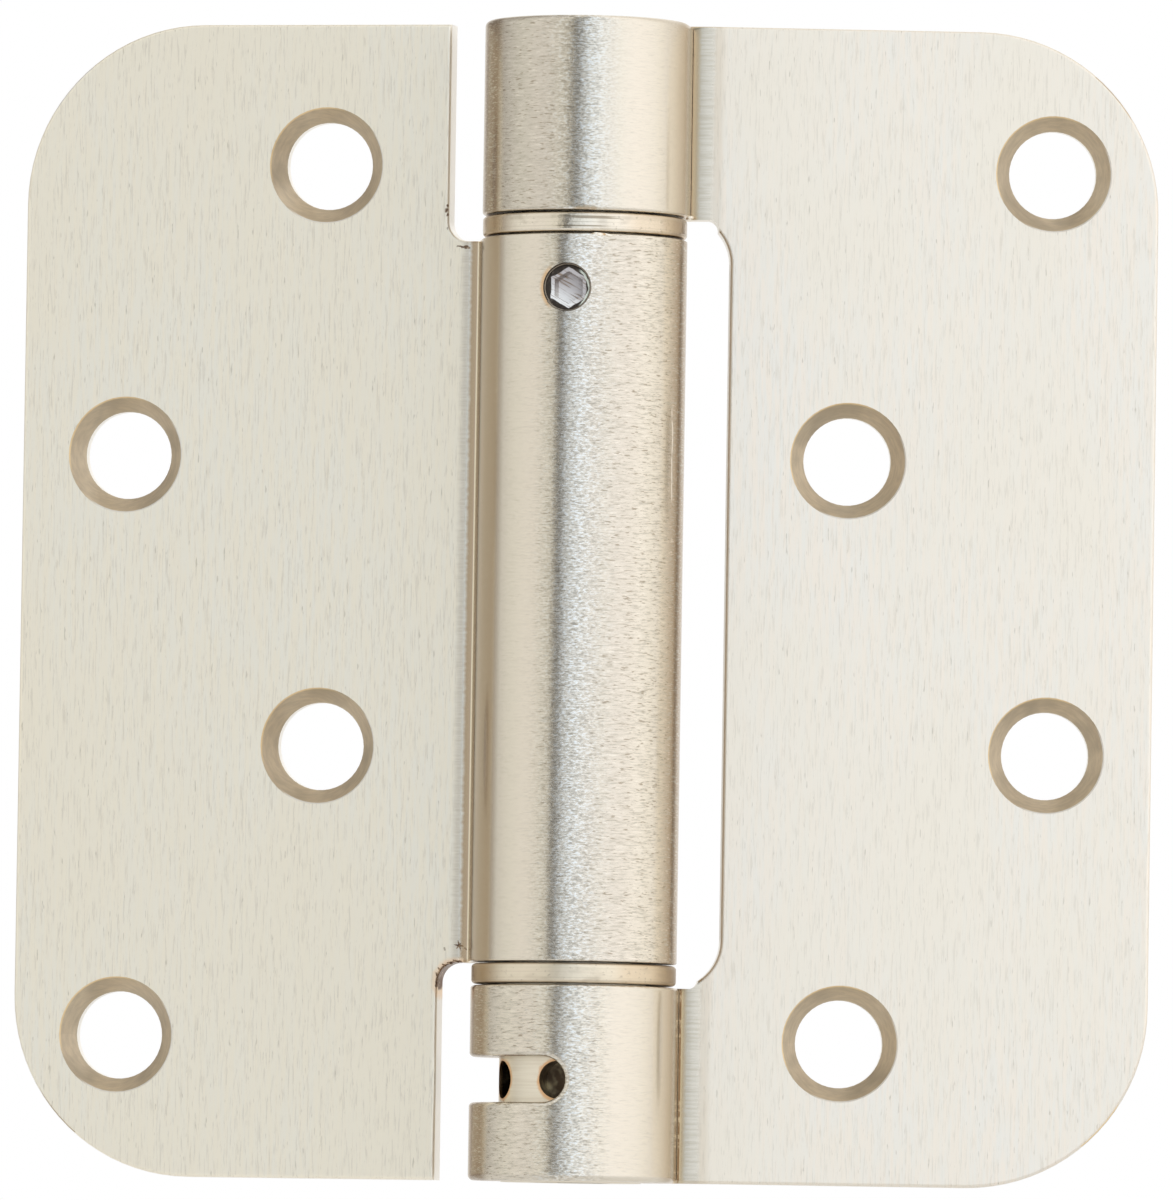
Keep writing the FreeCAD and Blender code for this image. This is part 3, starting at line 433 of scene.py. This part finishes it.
# Thrust washers and cap: turned from steel bar and plated, so their rims carry fine tool lines,
# deepest at the front of the upper washer; the lower one is rubbed duller
def turned_steel(name, colour, dark, rough, lines):
    """Plated steel turned on a lathe, with tool lines round the pin axis."""
    material, tree, shader, point, axes = new_material(name)
    reach, angle = round_axis(tree, axes)
    line = noise(tree, point, (24.0, 24.0, 4600.0), 1.0, 0.5, 2.0)
    torn = noise(tree, point, (60.0, 60.0, 4600.0), 1.0, 0.5, 12.0)
    patch = noise(tree, point, (420.0, 420.0, 900.0), 2.0, 0.5, 9.0)
    speck = noise(tree, point, (2600.0, 2600.0, 3200.0), 2.0, 0.55, 15.0)
    outer = calc(tree, "GREATER_THAN", reach, 0.008)
    # Painted reflection and shade on the outer rim: warmer towards the right and browner at both
    # sides
    side_shade = calc(tree, "MULTIPLY", outer, between(
        tree, calc(tree, "ABSOLUTE", angle), 55.0, 118.0, 13.0))
    made = blend_colour(tree, calc(tree, "MULTIPLY", outer, between(
        tree, angle, 23.0, 118.0, 7.0)), colour,
                        [part * shift for part, shift in zip(colour, (0.94, 0.88, 0.81))])
    made = blend_colour(tree, side_shade, made,
                        [part * shift for part, shift in zip(colour, (0.46, 0.37, 0.28))])
    swept = calc(tree, "MULTIPLY_ADD", torn, 34.0, calc(tree, "SUBTRACT", angle, 17.0))
    deep = calc(tree, "MULTIPLY_ADD", between(tree, swept, -13.0, 13.0, 5.0), lines, 0.15)
    made = blend_colour(tree, calc(tree, "MULTIPLY", deep, ramp_up(tree, line, 0.50, 0.56)), made,
                        dark)
    made = blend_colour(tree, calc(tree, "MULTIPLY", ramp_up(tree, patch, 0.55, 0.80), 0.4),
                        made, [part * 0.8 for part in dark])
    made = blend_colour(tree, calc(tree, "MULTIPLY", ramp_up(tree, speck, 0.62, 0.74), 0.35),
                        made, [part * 0.6 for part in dark])
    # The plating is worn to a thin orange line on the rounded rims
    level = calc(tree, "ABSOLUTE", axes[2])
    rims = calc(tree, "SUBTRACT", 1.0, between(tree, level, 0.03200, 0.03345, 0.00007))
    rims = calc(tree, "MULTIPLY", rims, outer)
    made = blend_colour(tree, calc(tree, "MULTIPLY", rims, 0.55), made, (0.60, 0.47, 0.32))
    tree.links.new(made, shader.inputs["Base Color"])
    tree.links.new(calc(tree, "MULTIPLY_ADD", line, 0.12, rough), shader.inputs["Roughness"])
    shader.inputs["Anisotropic"].default_value = 0.6
    lay = put(tree, "ShaderNodeCombineXYZ", {0: 0.0, 1: 0.0, 2: 1.0})
    tree.links.new(lay.outputs[0], shader.inputs["Tangent"])
    bump = put(tree, "ShaderNodeBump", {"Height": calc(tree, "ADD", line, speck),
                                        "Distance": 0.00003, "Strength": 0.6})
    tree.links.new(bump.outputs[0], shader.inputs["Normal"])
    return material


nodes["upper_washer"].data.materials[0] = turned_steel(
    "turned_nickel_washer", (0.83, 0.765, 0.655), (0.40, 0.34, 0.26), 0.17, 0.85)
dull_washer = turned_steel("dull_nickel_washer", (0.83, 0.75, 0.61), (0.46, 0.38, 0.28), 0.36, 0.1)
for name in ("lower_washer", "top_cap"):
    nodes[name].data.materials[0] = dull_washer

# Bushings: plain moulded sleeves of nylon, pressed into the top knuckle and into the barrel's
# lower end, so that steel never turns on steel
nylon, tree, shader, point, axes = new_material("bushing_nylon")
shader.inputs["Metallic"].default_value = 0.0
shader.inputs["Roughness"].default_value = 0.45
mottle = noise(tree, point, (700.0, 700.0, 700.0), 3.0)
tree.links.new(blend_colour(tree, mottle, (0.74, 0.71, 0.62), (0.66, 0.63, 0.55)),
               shader.inputs["Base Color"])
for name in ("upper_bushing", "lower_bushing"):
    nodes[name].data.materials[0] = nylon

# Anchor plug and adjusting spindle: turned steel. The spindle's six holes for the tension pin are
# drilled through the plating, so their mouths show orange; their walls are painted dark as painted
# shade, with lighter painted glints.
spindle_steel, tree, shader, point, axes = new_material("spindle_steel")
reach, angle = round_axis(tree, axes)
line = noise(tree, point, (110.0, 110.0, 5200.0), 3.0, 0.6, 4.0)
made = blend_colour(tree, ramp_up(tree, line, 0.4, 0.72), (0.84, 0.78, 0.66), (0.76, 0.69, 0.57))
# A mouth lies at every sixth of a turn from 15 degrees left of the front
plug_radius, holes_level = 0.0064, -0.042
span = calc(tree, "MULTIPLY", calc(tree, "PINGPONG", calc(tree, "ADD", angle, 375.0), 30.0),
            math.radians(plug_radius))
level = calc(tree, "SUBTRACT", axes[2], holes_level)
mouth = calc(tree, "SQRT", calc(tree, "ADD", calc(tree, "MULTIPLY", span, span),
                                calc(tree, "MULTIPLY", level, level)))
ragged = noise(tree, point, (1200.0, 1200.0, 1200.0), 3.0, 0.6, 21.0)
mouth = calc(tree, "MULTIPLY_ADD", ragged, -0.0006, mouth)
halo = calc(tree, "SUBTRACT", 1.0, ramp_up(tree, mouth, 0.00142, 0.00172))
made = blend_colour(tree, calc(tree, "MULTIPLY", halo, 0.85), made, (0.74, 0.43, 0.20))
# Painted shade inside the holes, with lighter painted glints
inside = calc(tree, "MULTIPLY", ramp_up(tree, calc(tree, "MULTIPLY", reach, -1.0), -0.00632,
                                        -0.0060),
              calc(tree, "LESS_THAN", calc(tree, "ABSOLUTE", level), 0.0019))
hole_shade_glints = noise(tree, point, (900.0, 900.0, 900.0), 2.0, 0.5, 27.0)
made = blend_colour(tree, inside, made, blend_colour(tree, ramp_up(tree, hole_shade_glints, 0.45, 0.7),
                                                     (0.10, 0.07, 0.045), (0.40, 0.34, 0.22)))
tree.links.new(made, shader.inputs["Base Color"])
shader.inputs["Roughness"].default_value = 0.32
bump = put(tree, "ShaderNodeBump", {"Height": line, "Distance": 0.00002, "Strength": 0.4})
tree.links.new(bump.outputs[0], shader.inputs["Normal"])
for name in ("anchor_plug", "adjusting_spindle"):
    nodes[name].data.materials[0] = spindle_steel

# Torsion spring: oil tempered music wire, coiled with a straight tang at each end that sits in
# the anchor plug and in the spindle. It is left dark and lightly greased.
wire, tree, shader, point, axes = new_material("spring_wire")
drawn = noise(tree, point, (1500.0, 1500.0, 1500.0), 3.0)
tree.links.new(blend_colour(tree, drawn, (0.20, 0.18, 0.155), (0.11, 0.10, 0.09)),
               shader.inputs["Base Color"])
shader.inputs["Roughness"].default_value = 0.36
nodes["torsion_spring"].data.materials[0] = wire

# Retaining ring: stamped from blackened spring steel and snapped on the spindle's end, so that
# the spindle can't drop out
black, tree, shader, point, axes = new_material("black_steel")
worn = noise(tree, point, (2600.0, 2600.0, 2600.0), 3.0, 0.6, 6.0)
tree.links.new(blend_colour(tree, ramp_up(tree, worn, 0.5, 0.75), (0.10, 0.085, 0.075),
                            (0.24, 0.215, 0.195)), shader.inputs["Base Color"])
shader.inputs["Roughness"].default_value = 0.34
nodes["retaining_ring"].data.materials[0] = black

# Set screw: a cup point socket screw of blackened steel, whose socket's floor was broached
# bare and scratched by the key. It stands a millimetre below the barrel's skin.
screw_black, tree, shader, point, axes = new_material("set_screw_steel")
aside, above, centre = about_screw(tree, axes)
worn_edge = noise(tree, point, (1300.0, 1300.0, 1300.0), 2.0, 0.5, 33.0)
# The key has rounded the hexagon's edges, so its bright mouth is wider than its flats
flats = calc(tree, "ABSOLUTE", aside)
for lean in (60.0, -60.0):
    flats = calc(tree, "MAXIMUM", flats, calc(tree, "ABSOLUTE", calc(
        tree, "MULTIPLY_ADD", aside, math.cos(math.radians(lean)),
        calc(tree, "MULTIPLY", above, math.sin(math.radians(lean))))))
socket_share = calc(tree, "SUBTRACT", 1.0, ramp_up(
    tree, calc(tree, "MULTIPLY_ADD", worn_edge, 0.0003, flats), 0.00168, 0.00174))
# Painted highlight: a bright crescent on the right of the screw's face
glint = calc(tree, "MULTIPLY", between(tree, calc(tree, "MULTIPLY_ADD", worn_edge, 0.0003, centre),
                                       0.00186, 0.00206, 0.00003),
             ramp_up(tree, aside, 0.0008, 0.0012))
worn = noise(tree, point, (2600.0, 2600.0, 2600.0), 3.0, 0.6, 6.0)
body = blend_colour(tree, ramp_up(tree, worn, 0.5, 0.75), (0.05, 0.04, 0.033), (0.12, 0.10, 0.08))
slant = calc(tree, "MULTIPLY_ADD", above, 0.86, calc(tree, "MULTIPLY", aside, 0.5))
scrape = put(tree, "ShaderNodeTexNoise", {"Vector": put(tree, "ShaderNodeCombineXYZ", {
    0: calc(tree, "MULTIPLY", slant, 5200.0), 1: calc(tree, "MULTIPLY", aside, 500.0)}).outputs[0],
    "Scale": 1.0, "Detail": 2.0}).outputs["Fac"]
# Painted shade: the bare floor is painted darker towards the upper right
bare_shaded_floor = blend_colour(tree, ramp_up(tree, calc(tree, "MULTIPLY", slant, -1.0), -0.0003, 0.0013),
                    (0.55, 0.51, 0.50), (0.88, 0.86, 0.83))
bare_shaded_floor = blend_colour(tree, ramp_up(tree, scrape, 0.52, 0.66), bare_shaded_floor, (0.30, 0.23, 0.18))
colour = blend_colour(tree, socket_share, body, bare_shaded_floor)
colour = blend_colour(tree, glint, colour, (0.80, 0.82, 0.70))
tree.links.new(colour, shader.inputs["Base Color"])
shader.inputs["Roughness"].default_value = 0.34
# The socket's drilled floor is dished, so it faces away from the dark gap in the tent
dished = put(tree, "ShaderNodeVectorRotate",
             {"Vector": put(tree, "ShaderNodeNewGeometry").outputs["Normal"],
              "Angle": math.radians(10.0)}, rotation_type="Z_AXIS").outputs[0]
tree.links.new(dished, shader.inputs["Normal"])
nodes["set_screw"].data.materials[0] = screw_black


# Thread of the tapped hole: one turn and a half of it shows above the set screw. It is part
# of the barrel leaf, cut by the tap and left dark with oil.
def settle(item, tree, body, values=None):
    """Run the tree once on the object, keep the plain mesh it makes and give it to a body."""
    bpy.context.scene.collection.objects.link(item)
    modifier = item.modifiers.new("shape", "NODES")
    modifier.node_group = tree
    for name, value in (values or {}).items():
        socket = tree.interface.items_tree[name].identifier
        modifier[socket] = value
    bpy.context.view_layer.update()
    graph = bpy.context.evaluated_depsgraph_get()
    mesh = bpy.data.meshes.new_from_object(item.evaluated_get(graph))
    item.modifiers.clear()
    item.data = mesh
    item.data.name = item.name
    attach(item, body)
    return item


cut_steel, tree, shader, point, axes = new_material("cut_thread_steel")
worn = noise(tree, point, (3000.0, 3000.0, 3000.0), 2.0)
tree.links.new(blend_colour(tree, worn, (0.36, 0.31, 0.25), (0.16, 0.13, 0.10)),
               shader.inputs["Base Color"])
shader.inputs["Roughness"].default_value = 0.25
tree = bpy.data.node_groups.new("thread_turns", "GeometryNodeTree")
tree.interface.new_socket("Geometry", in_out="INPUT", socket_type="NodeSocketGeometry")
for name, value in (("Turns", 1.4), ("Pitch", 0.0007), ("Radius", 0.00207), ("Ridge", 0.00011)):
    socket = tree.interface.new_socket(name, in_out="INPUT", socket_type="NodeSocketFloat")
    socket.default_value = value
tree.interface.new_socket("Geometry", in_out="OUTPUT", socket_type="NodeSocketGeometry")
given = put(tree, "NodeGroupInput").outputs
path = put(tree, "GeometryNodeCurveSpiral",
           {"Resolution": 72, "Rotations": given["Turns"], "Start Radius": given["Radius"],
            "End Radius": given["Radius"],
            "Height": calc(tree, "MULTIPLY", given["Turns"], given["Pitch"])})
ring = put(tree, "GeometryNodeCurvePrimitiveCircle", {"Resolution": 8, "Radius": given["Ridge"]})
tube = put(tree, "GeometryNodeCurveToMesh", {"Curve": path.outputs[0],
                                             "Profile Curve": ring.outputs[0],
                                             "Fill Caps": True})
placed = put(tree, "GeometryNodeTransform",
             {"Geometry": tube.outputs[0], "Translation": (-0.00179, -0.00776, screw_level),
              "Rotation": (math.radians(90.0), 0.0, math.radians(-13.0))})
whole = put(tree, "GeometryNodeRealizeInstances", {"Geometry": placed.outputs[0]})
dressed = put(tree, "GeometryNodeSetMaterial", {"Geometry": whole.outputs[0],
                                                "Material": cut_steel})
put(tree, "NodeGroupOutput", {0: dressed.outputs[0]})
settle(bpy.data.objects.new("tapped_thread", bpy.data.meshes.new("tapped_thread")), tree,
       "barrel", {"Turns": 1.4})

# Burrs and chips left by blanking and grinding: tiny flakes of the leaves' own steel, some
# burnt brown, that still cling to the notches' edges, the knuckle's corner and the barrel's rim.
burr_steel, tree, shader, point, axes = new_material("burr_steel")
scorch = noise(tree, point, (3500.0, 3500.0, 3500.0), 3.0, 0.6, 8.0)
tree.links.new(blend_colour(tree, ramp_up(tree, scorch, 0.35, 0.6), (0.55, 0.40, 0.27),
                            (0.14, 0.09, 0.06)), shader.inputs["Base Color"])
shader.inputs["Roughness"].default_value = 0.35
chip_steel, tree, shader, point, axes = new_material("chip_steel")
scorch = noise(tree, point, (3000.0, 3000.0, 3000.0), 3.0, 0.6, 8.0)
tree.links.new(blend_colour(tree, ramp_up(tree, scorch, 0.45, 0.7), (0.95, 0.88, 0.76),
                            (0.62, 0.42, 0.24)), shader.inputs["Base Color"])
shader.inputs["Roughness"].default_value = 0.3
tree = bpy.data.node_groups.new("clinging_flakes", "GeometryNodeTree")
tree.interface.new_socket("Geometry", in_out="INPUT", socket_type="NodeSocketGeometry")
socket = tree.interface.new_socket("Rough", in_out="INPUT", socket_type="NodeSocketFloat")
socket.default_value = 0.5
tree.interface.new_socket("Material", in_out="INPUT", socket_type="NodeSocketMaterial")
tree.interface.new_socket("Geometry", in_out="OUTPUT", socket_type="NodeSocketGeometry")
given = put(tree, "NodeGroupInput").outputs
flake = put(tree, "GeometryNodeMeshIcoSphere", {"Radius": 1.0, "Subdivisions": 3})
wave = put(tree, "ShaderNodeTexNoise", {"Scale": 1.3, "Detail": 2.0})
shift = put(tree, "ShaderNodeVectorMath", {0: wave.outputs["Color"], 1: (0.5, 0.5, 0.5)},
            operation="SUBTRACT")
shift = put(tree, "ShaderNodeVectorMath", {0: shift.outputs[0], "Scale": given["Rough"]},
            operation="SCALE")
lump = put(tree, "GeometryNodeSetPosition", {"Geometry": flake.outputs[0],
                                             "Offset": shift.outputs[0]})
size = put(tree, "GeometryNodeInputNamedAttribute", {"Name": "size"}, data_type="FLOAT_VECTOR")
turn = put(tree, "GeometryNodeInputNamedAttribute", {"Name": "turn"}, data_type="FLOAT_VECTOR")
spread = put(tree, "GeometryNodeInstanceOnPoints",
             {"Points": given["Geometry"], "Instance": lump.outputs[0],
              "Scale": size.outputs[0], "Rotation": turn.outputs[0]})
whole = put(tree, "GeometryNodeRealizeInstances", {"Geometry": spread.outputs[0]})
dressed = put(tree, "GeometryNodeSetMaterial", {"Geometry": whole.outputs[0],
                                                "Material": given["Material"]})
put(tree, "NodeGroupOutput", {0: dressed.outputs[0]})


def flakes(name, body, material, rows):
    """Flakes at the rows' places, each with three half sizes in mm and a lean in degrees."""
    mesh = bpy.data.meshes.new(name)
    mesh.from_pydata([row[0] for row in rows], [], [])
    for key, values in (("size", [[part / 1000.0 for part in row[1]] for row in rows]),
                        ("turn", [(0.0, math.radians(row[2]), 0.0) for row in rows])):
        layer = mesh.attributes.new(key, "FLOAT_VECTOR", "POINT")
        layer.data.foreach_set("vector", [part for value in values for part in value])
    return settle(bpy.data.objects.new(name, mesh), tree, body, {"Material": material})


def on_roll(turn, level, reach=0.00898):
    """A place on a roll's skin: degrees from the front, and high."""
    return (reach * math.sin(math.radians(turn)), -reach * math.cos(math.radians(turn)), level)


flakes("notch_burrs", "barrel", burr_steel, [
    (on_leaf(0.01075, 0.00085, -0.03160), (0.30, 0.10, 0.07), 20.0),
    (on_leaf(0.01130, 0.00085, -0.03178), (0.26, 0.10, 0.09), 10.0),
    (on_leaf(0.01180, 0.00085, -0.03196), (0.22, 0.10, 0.08), 30.0),
    (on_leaf(0.01222, 0.00085, -0.03232), (0.22, 0.10, 0.08), 50.0),
    (on_leaf(0.01247, 0.00085, -0.03275), (0.20, 0.10, 0.07), 75.0),
    (on_leaf(0.01240, 0.00085, -0.03322), (0.16, 0.10, 0.09), 110.0),
    (on_leaf(0.01252, 0.00085, -0.03380), (0.16, 0.08, 0.06), 80.0),
    (on_leaf(0.01048, 0.00079, -0.03022), (0.42, 0.09, 0.07), 8.0),
    (on_leaf(0.01046, 0.00079, -0.03020), (0.46, 0.09, 0.06), 74.0),
    (on_leaf(0.01050, 0.00079, -0.03024), (0.34, 0.09, 0.06), 128.0),
    (on_leaf(0.00990, 0.00086, -0.03050), (0.14, 0.09, 0.06), 40.0),
    (on_leaf(0.01058, 0.00080, 0.03108), (0.16, 0.07, 0.06), 0.0),
    (on_leaf(0.01112, 0.00080, 0.03116), (0.20, 0.07, 0.06), 10.0)])
flakes("barrel_chips", "barrel", chip_steel, [
    (on_roll(4.0, 0.03160, 0.00889), (0.62, 0.11, 0.20), 2.0),
    (on_roll(9.0, 0.03158, 0.00892), (0.56, 0.11, 0.14), 8.0),
    (on_roll(12.0, 0.03157, 0.00898), (0.30, 0.10, 0.08), 0.0)])
flakes("knuckle_chips", "frame", chip_steel, [
    ((0.00912, -0.0001, 0.03386), (0.42, 0.30, 0.20), 0.0)])

# Light tent of pale cloth round the hinge, lit from outside: brighter on the right, cool near
# the camera, with a narrow gap left of the camera and dim sides. The camera looks through it.
tent_radius = 0.8
bpy.ops.mesh.primitive_uv_sphere_add(segments=64, ring_count=32, radius=tent_radius)
tent = bpy.context.object
tent.name = "light_tent"
tent.visible_camera = False
tent.visible_shadow = False
cloth = bpy.data.materials.new("tent_cloth")
cloth.use_nodes = True
tree = cloth.node_tree
tree.nodes.clear()
point = put(tree, "ShaderNodeTexCoord").outputs["Object"]
reach, angle = round_axis(tree, put(tree, "ShaderNodeSeparateXYZ", {0: point}).outputs)
share = put(tree, "ShaderNodeMapRange", {"Value": angle, "From Min": -180.0,
                                         "From Max": 180.0}).outputs["Result"]
panels = put(tree, "ShaderNodeValToRGB", {"Fac": share})
stops = (
    (-165.0, (0.85, 0.83, 0.78)), (-155.0, (0.42, 0.38, 0.34)), (-142.0, (0.40, 0.37, 0.33)),
    (-126.0, (0.44, 0.42, 0.39)), (-113.0, (0.50, 0.48, 0.45)), (-102.0, (0.62, 0.61, 0.58)),
    (-92.0, (0.71, 0.70, 0.66)), (-83.0, (0.75, 0.745, 0.70)), (-66.0, (0.806, 0.788, 0.753)),
    (-55.0, (0.79, 0.77, 0.735)), (-39.0, (0.767, 0.757, 0.70)), (-32.0, (0.70, 0.68, 0.614)),
    (-26.4, (0.04, 0.035, 0.03)), (-22.4, (0.05, 0.05, 0.05)), (-18.0, (0.63, 0.68, 0.73)),
    (-11.0, (0.73, 0.78, 0.82)), (-4.5, (0.85, 0.92, 1.0)), (2.0, (0.94, 1.0, 1.07)),
    (9.0, (0.95, 0.99, 1.03)), (18.0, (0.97, 0.99, 1.02)), (26.0, (1.02, 1.035, 1.04)),
    (38.0, (1.06, 1.055, 1.06)), (53.0, (1.07, 1.056, 1.05)), (68.0, (1.03, 1.015, 1.0)),
    (77.0, (1.0, 0.985, 0.96)), (86.0, (0.955, 0.93, 0.88)), (96.0, (0.87, 0.84, 0.80)),
    (107.0, (0.80, 0.76, 0.71)), (120.0, (0.76, 0.72, 0.67)), (136.0, (0.82, 0.79, 0.74)),
    (151.0, (0.90, 0.88, 0.84)), (165.0, (0.92, 0.90, 0.86)),
)
while len(panels.color_ramp.elements) < len(stops):
    panels.color_ramp.elements.new(0.5)
for element, (degrees, colour) in zip(panels.color_ramp.elements, stops):
    element.position = (degrees + 180.0) / 360.0
    element.color = (*colour, 1.0)
glow = put(tree, "ShaderNodeEmission", {"Color": panels.outputs[0], "Strength": 1.14})
put(tree, "ShaderNodeOutputMaterial", {"Surface": glow.outputs[0]})
tent.data.materials.append(cloth)

# Floor: a plain pale sheet well below the hinge, seen only from above
floor_size, floor_level = 3.0, -0.14
bpy.ops.mesh.primitive_plane_add(size=floor_size, location=(0.0, 0.0, floor_level))
floor = bpy.context.object
floor.name = "floor"
pale = bpy.data.materials.new("pale_floor")
pale.use_nodes = True
tree = pale.node_tree
tree.nodes.clear()
sheet = put(tree, "ShaderNodeBsdfDiffuse", {"Color": (0.92, 0.92, 0.92, 1.0)})
clear = put(tree, "ShaderNodeBsdfTransparent")
under = put(tree, "ShaderNodeNewGeometry").outputs["Backfacing"]
seen = put(tree, "ShaderNodeMixShader", {0: under, 1: sheet.outputs[0], 2: clear.outputs[0]})
put(tree, "ShaderNodeOutputMaterial", {"Surface": seen.outputs[0]})
floor.data.materials.append(pale)

# White surround behind everything, and an even soft light
world = bpy.data.worlds.new("surround")
bpy.context.scene.world = world
world.use_nodes = True
tree = world.node_tree
tree.nodes.clear()
rays = put(tree, "ShaderNodeLightPath").outputs
white = calc(tree, "MAXIMUM", calc(tree, "MAXIMUM", rays["Is Camera Ray"],
                                   rays["Is Glossy Ray"]), rays["Is Transmission Ray"])
even = put(tree, "ShaderNodeBackground", {"Color": (1.0, 0.99, 0.97, 1.0), "Strength": 0.9})
plain = put(tree, "ShaderNodeBackground", {"Color": (1.0, 1.0, 1.0, 1.0), "Strength": 1.0})
seen = put(tree, "ShaderNodeMixShader", {0: white, 1: even.outputs[0], 2: plain.outputs[0]})
put(tree, "ShaderNodeOutputWorld", {"Surface": seen.outputs[0]})
bpy.context.scene.view_settings.view_transform = "Standard"

# Camera: a long lens from a little left of and below square on, rolled by under a degree
turn, rise, roll = math.radians(-3.3), math.radians(-2.7), math.radians(0.877)
back = Vector((math.sin(turn) * math.cos(rise), -math.cos(turn) * math.cos(rise),
               math.sin(rise)))
right = Vector((math.cos(turn), math.sin(turn), 0.0))
up = back.cross(right)
right, up = (right * math.cos(roll) + up * math.sin(roll),
             up * math.cos(roll) - right * math.sin(roll))
lens = bpy.data.cameras.new("camera")
picture_height, focal_pixels = 1200.0, 15413.5
lens.sensor_width = 36.0
lens.lens = focal_pixels * lens.sensor_width / picture_height
lens.clip_start, lens.clip_end = 0.05, 20.0
camera = bpy.data.objects.new("camera", lens)
bpy.context.scene.collection.objects.link(camera)
place = Matrix((right, up, back)).transposed().to_4x4()
target, distance = Vector((0.000624, 0.0, 0.000136)), 1.35
place.translation = target + back * distance
camera.matrix_world = place
bpy.context.scene.camera = camera
